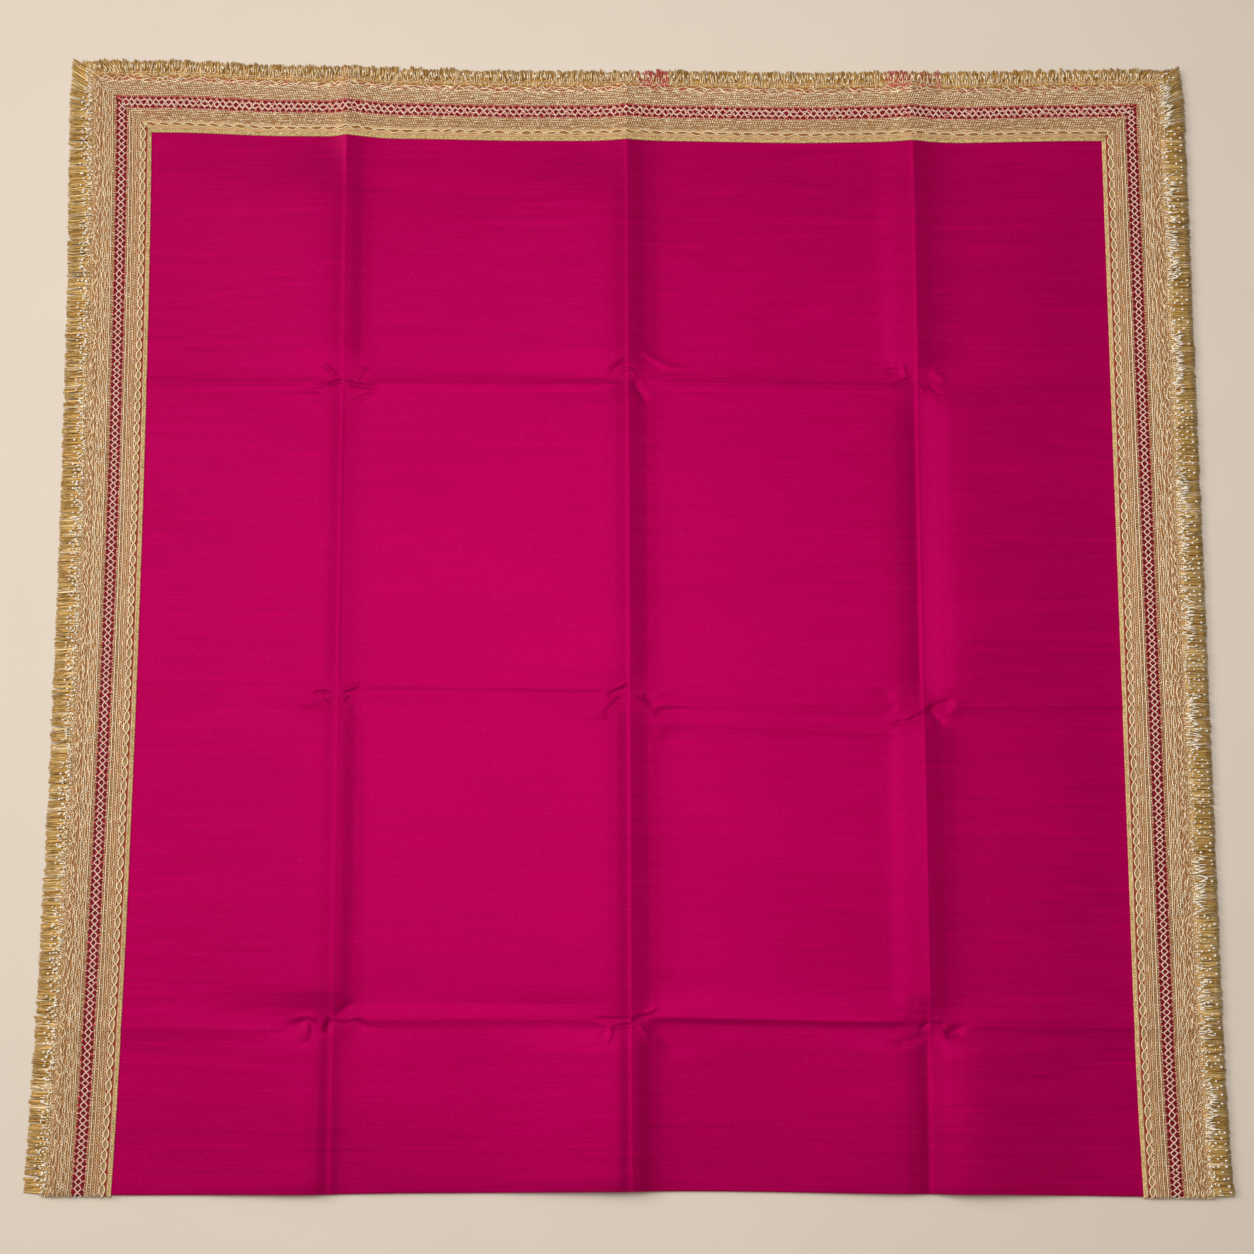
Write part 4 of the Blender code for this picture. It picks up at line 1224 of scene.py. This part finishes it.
class SAREE_OT_braid(Maker, bpy.types.Operator):
    """The chain braid of two interlaced cords, and the knotted beads along the inner edge"""
    bl_idname = "saree.braid"
    bl_label = "Chain braid and beads"

    def make(self, sizes, colours):
        look = thread_finish("braid_cord", 800.0, 0.38, 0.2)
        for trim in trims(60):
            shade, pitch, loose = 1.0, sizes.braid_side, 0.4
            if trim.far:
                shade, pitch, loose = 0.93, sizes.braid_far, 1.0
            cream, bead = (dye * shade for dye in palette(colours, "cream", "bead"))
            for side in (-1.0, 1.0):
                trim.lay(BRAID_MIDDLE, 0.0011, *self.cord(trim, side, pitch, loose), 0.00064,
                         (cream * (1.0, 0.98, 0.88), cream * (0.98, 0.90, 0.80)), sides=4)
            for row in (0.0606, 0.0623):
                along = trim.run(row, 0.0021)
                along = along + trim.rng.uniform(-0.0003, 0.0003, len(along))
                inside = row + trim.rng.uniform(-0.0002, 0.0002, len(along))
                trim.set_knots((along, inside), 0.0002, 0.00095, (bead, bead * 1.4))
            trim.finish("lace_braid", look, "gold_lace")

    def cord(self, trim, side, pitch, loose):
        """A cord that swings out round each eye, and crosses over and under the other one between eyes."""
        def offset(along):
            turn = np.sin(math.pi * (along + trim.drift(along)) / pitch)
            size = braid_reach(trim.far) * (1.0 + wander(along, int(7 + side), 0.03, 0.22 * loose))
            stray = wander(along, 5, 0.02, 0.0005 * loose)
            return side * size * np.sign(turn) * np.abs(turn) ** 0.75 + stray

        def lift(along):
            return 0.0007 + side * 0.0004 * np.cos(math.pi * (along + trim.drift(along)) / pitch)
        return offset, lift


class SAREE_OT_fringe(Maker, bpy.types.Operator):
    """The metallic fringe on the three trimmed edges, fanned out at the far corners"""
    bl_idname = "saree.fringe"
    bl_label = "Fringe"

    def make(self, sizes, colours):
        strands = thread_finish("fringe_thread", 500.0, 0.38, 0.25)
        curls = feed_shader(thread_finish("fringe_glint", 500.0, 0.30, 0.0), Specular_IOR_Level=1.0)
        for trim in trims(80):
            length = sizes.fringe_far if trim.far else sizes.fringe_side
            self.strands(trim, length, sizes, colours)
            trim.finish("fringe_threads", strands, "gold_thread", f"fringe_{trim.edge}")
            # The white curls and dots are painted highlights: the glints of the metallic fringe.
            self.glints(trim, length, np.array(colours.glint))
            trim.finish("fringe_glint_curls", curls, "gold_thread")

    def directions(self, trim, along):
        """Straight out from the edge and along it, with the fan at the far corners, in radians."""
        start, end = trim.ends(0.0)
        right, ahead = np.eye(3)[:2]
        fan = FAN_ANGLE * ease(1 - (end - along) / FAN_REACH)
        if trim.far:
            return ahead, right, fan - FAN_ANGLE * ease(1 - (along - start) / FAN_REACH)
        return right * (-1.0 if trim.edge == "left" else 1.0), ahead, fan

    def strands(self, trim, length, sizes, colours):
        """Threads gathered in clumps: each leans to its clump, droops to the floor and tapers.

        A row of broad flat threads lies beneath, and a closer row of fine ones on top.
        """
        kind, rng = trim.fringe, trim.rng
        start, end = trim.ends(0.0)
        if not trim.far:
            start = NEAR - FRINGE_START
        clumps = int((end - start) / kind.clump) + 1
        turns = rng.normal(0.0, math.radians(kind.sway), clumps)
        reaches = 1.0 + rng.normal(0.0, kind.uneven, clumps)
        steps = np.array([0.0, 0.28, 0.52, 0.78, 1.0])
        for pitch, radius, flat, low, high, fine in (
                (0.0019, 0.0014, 0.30, 0.0008, 0.0011, 0.0),
                (sizes.strand_pitch, sizes.strand, 0.6, 0.0010, 0.0020, 1.0)):
            count = int((end - start) / pitch)
            along = spread(start, end, count, rng)
            clump = ((along - start) / kind.clump + rng.uniform(-0.2, 0.2, count)).astype(int)
            clump = np.clip(clump, 0, clumps - 1)
            middle = start + (clump + 0.5) * kind.clump
            out, beside, fan = self.directions(trim, along)
            calm = (1.0 - np.abs(fan) / FAN_ANGLE) * fine
            angle = turns[clump] * calm + fan + rng.normal(0.0, math.radians(2.0), count)
            reach = length * reaches[clump] * (1.0 + rng.normal(0.0, kind.uneven * 0.6, count))
            reach = reach * (1.0 + 0.25 * np.abs(np.sin(fan))) + np.interp(along, (NEAR, FAR), kind.extra)
            reach = reach + kind.inside - SIDE["inside"]
            root = trim.point(np.maximum(along, NEAR), kind.inside, kind.root)
            way = out * np.cos(angle)[:, None] + beside * np.sin(angle)[:, None]
            lean = ((middle - along) * kind.lean * calm)[:, None] * steps ** 2
            arch = np.sin(math.pi * steps)
            curl = rng.normal(0.0, 0.0005, count)[:, None] * arch
            path = root[:, None] + way[:, None] * (reach[:, None] * steps)[..., None]
            path = path + beside * (lean + curl)[..., None]
            level = rng.uniform(low, high, count)[:, None] + kind.raised
            drop = ease(steps / DROP_SHARE)
            path[..., 2] = root[:, None, 2] * (1.0 - drop) + level * drop
            path[..., 2] += rng.uniform(0.0, 0.0005, count)[:, None] * arch
            radii = radius * (1.0 - 0.45 * steps ** 3)[None] * rng.uniform(0.75, 1.2, count)[:, None]
            # Threads beneath: painted lighter on the sides against the shade above, darker at the far end.
            dye = self.dye(trim, along, clump, clumps, steps, colours) * (1.0 if fine else kind.under)
            trim.threads(path, UP, radii, dye, flat=flat)

    def dye(self, trim, along, clump, clumps, steps, colours):
        """Each strand's colour at its steps: its clump's gold, with painted shade towards the root and
        painted light at the tip, and some strands painted pale throughout as glints.
        """
        kind, rng = trim.fringe, trim.rng
        *golds, white = palette(colours, "fringe_deep", "fringe", "fringe_pale", "glint")
        count = len(along)
        shade = (rng.normal(0.0, 0.16, clumps)[clump] + rng.normal(0.0, 0.18, count)) * kind.tones
        # Painted shade and light: the tone rises from the root to the tip.
        share = np.clip(kind.middle + shade[:, None] + kind.rise * (steps[None] - 0.35), 0.0, 1.0)
        dye = toned(golds, share[..., None])
        streak = wander(along, 7 + len(trim.edge), 0.011, 1.0) + 0.5 * self.frayed(trim, along)
        chosen = (streak > 1.25) & (rng.random(count) < kind.pale)
        # Painted highlight: these strands take the glints' white along their whole length.
        dye[chosen] = dye[chosen] * 0.35 + white * (0.66, 0.60, 0.50)
        dye = dye * kind.dye
        return self.crimson(dye, along, colours, rng) if trim.far else dye

    def crimson(self, dye, along, colours, rng):
        """A few clumps of the far fringe are crimson: their places along it, and how strong they are."""
        places = ((0.2717, 0.3000, 0.75), (0.3052, 0.3104, 0.6), (0.3136, 0.3209, 0.75),
                  (0.3240, 0.3293, 0.8), (-0.2950, -0.2890, 0.25), (0.0151, 0.0480, 0.78))
        red = np.array(colours.crimson) * (1.1, 1.4, 2.2)
        for low, high, strength in places:
            chosen = (along > low) & (along < high) & (rng.random(len(along)) < strength)
            dye[chosen] = dye[chosen] * 0.25 + red * 0.9
        return dye

    def glints(self, trim, length, white):
        """Painted glints of the metallic fringe, as white thread lying in it: dots, and kinds of strokes.

        A stroke's bend is the angle through which it curls from end to end. Its depth is its middle's
        share of the fringe's length, and its turn is its lean away from straight out.
        """
        kind, rng = trim.fringe, trim.rng
        self.dots(trim, length, white)
        start, end = trim.ends(0.0)
        out, beside, _ = self.directions(trim, np.zeros(1))
        steps = np.linspace(-1.0, 1.0, 5)
        for count, depths, lengths, bend, lean, thick in kind.strokes:
            along = spread(max(start, NEAR), end, count, rng)
            if not trim.far and lean < 1.0:
                along = along[rng.random(count) < self.frayed(trim, along)]
            count = len(along)
            middle, fan = self.in_fringe(trim, along, rng.uniform(*depths, count), length)
            size = rng.uniform(*lengths, count)
            curl = bend * rng.uniform(-1.0, 1.0, count)
            turn = rng.normal(0.0, lean, count) + fan
            way = curled(turn[:, None] + curl[:, None] * steps / 2, size)
            path = middle[:, None] + out * way[..., :1] + beside * way[..., 1:]
            radii = thick * rng.uniform(0.8, 1.2, count)[:, None] * tapered(steps)
            trim.threads(path, UP, radii, white * kind.white)

    def frayed(self, trim, along):
        """Share of long white strokes at a place of the side fringes; dots take the rest."""
        if trim.far:
            return np.zeros_like(along)
        return ease(trim.fringe.frayed + wander(along, 31 + len(trim.edge), 0.10, 1.1))

    def in_fringe(self, trim, along, depth, length):
        """Points on the fringe at shares of its length, and its fan there."""
        out, beside, fan = self.directions(trim, along)
        place = trim.point(along, 0.0, 0.0)
        drop = ease(depth / DROP_SHARE)
        place[:, 2] = (place[:, 2] + TAPE) * (1.0 - drop) + trim.fringe.tip * drop + 0.0012
        way = out * np.cos(fan)[:, None] + beside * np.sin(fan)[:, None]
        return place + way * (depth * length)[:, None], fan

    def dots(self, trim, length, white):
        """Rows of white knots in the fringe, painted as its glints."""
        rng = trim.rng
        pitch, radius, long, depths = trim.fringe.dots
        out, _, _ = self.directions(trim, np.zeros(1))
        for order, depth in enumerate(depths):
            along = trim.run(0.0, pitch) + pitch * (0.5 * (order % 2) + 0.1)
            on_edge = along < HALF_WIDTH if trim.far else along > NEAR
            along = along[on_edge & (rng.random(len(along)) < 0.9)]
            along = along[rng.random(len(along)) > 0.75 * self.frayed(trim, along)]
            along = along + rng.normal(0.0, 0.16 * pitch, len(along))
            share = depth + rng.normal(0.0, 0.035, len(along))
            middles, _ = self.in_fringe(trim, along, share, length)
            trim.knots(middles, UP, out, radius * rng.uniform(0.75, 1.15, len(along)), white, long)


class SAREE_OT_stage(Maker, bpy.types.Operator):
    """A plain pale floor, a soft light from the upper left and the camera above"""
    bl_idname = "saree.stage"
    bl_label = "Floor, light and camera"

    def make(self, sizes, colours):
        scene = bpy.context.scene
        half, below = 4.0, 0.0002
        corners = np.array([[-half, -half, -below], [half, -half, -below], [half, half, -below],
                            [-half, half, -below]])
        floor = make_piece("floor", corners, [np.array([[0, 1, 2, 3]])], floor_finish(colours.floor))
        self.light("key", (-6.0, 2.2, 4.2), 3.2, 288.0, (1.0, 0.975, 0.95))
        self.light("overhead", (-0.27, 0.18, 2.2), 1.2, 31.0, (1.0, 0.97, 0.94))
        world = bpy.data.worlds.new("room")
        world.use_nodes = True
        background = world.node_tree.nodes["Background"]
        background.inputs["Color"].default_value = (1.0, 0.975, 0.93, 1.0)
        background.inputs["Strength"].default_value = 0.22
        scene.world = world
        scene.view_settings.view_transform = "Standard"
        data = bpy.data.cameras.new("camera")
        data.sensor_width = 36.0
        data.lens = LENS
        data.clip_end = 20.0
        scene.camera = self.aimed("camera", data, CAMERA, CAMERA_TARGET)

    def light(self, name, place, size, power, colour):
        """A square soft light that faces the saree."""
        data = bpy.data.lights.new(name, "AREA")
        data.size = size
        data.energy = power
        data.color = colour
        self.aimed(name, data, place, (0.0, 0.0, 0.0))

    def aimed(self, name, data, place, target):
        """A light or camera at a place, turned to a target."""
        made = bpy.data.objects.new(name, data)
        made.location = place
        made.rotation_euler = (Vector(target) - made.location).to_track_quat("-Z", "Y").to_euler()
        bpy.context.scene.collection.objects.link(made)
        return made


class SAREE_PT_panel(bpy.types.Panel):
    """Lists the saree's pieces, sizes and colours in the sidebar"""
    bl_idname = "SAREE_PT_panel"
    bl_label = "Folded saree"
    bl_space_type = "VIEW_3D"
    bl_region_type = "UI"
    bl_category = "Saree"

    def draw(self, context):
        for operator in OPERATORS:
            self.layout.operator(operator.bl_idname)
        for values in (context.scene.saree_sizes, context.scene.saree_colours):
            for name in values.__annotations__:
                self.layout.prop(values, name)


OPERATORS = (SAREE_OT_layers, SAREE_OT_cloth, SAREE_OT_tape, SAREE_OT_net, SAREE_OT_threads,
             SAREE_OT_braid, SAREE_OT_fringe, SAREE_OT_stage)
CLASSES = (SareeSizes, SareeColours, *OPERATORS, SAREE_PT_panel)


def register():
    for kind in CLASSES:
        bpy.utils.register_class(kind)
    bpy.types.Scene.saree_sizes = bpy.props.PointerProperty(type=SareeSizes)
    bpy.types.Scene.saree_colours = bpy.props.PointerProperty(type=SareeColours)


def unregister():
    del bpy.types.Scene.saree_sizes
    del bpy.types.Scene.saree_colours
    for kind in reversed(CLASSES):
        bpy.utils.unregister_class(kind)


def main():
    register()
    bpy.ops.saree.layers()
    bpy.ops.saree.cloth()
    bpy.ops.saree.tape()
    bpy.ops.saree.net()
    bpy.ops.saree.threads()
    bpy.ops.saree.braid()
    bpy.ops.saree.fringe()
    bpy.ops.saree.stage()


if __name__ == "__main__":
    main()
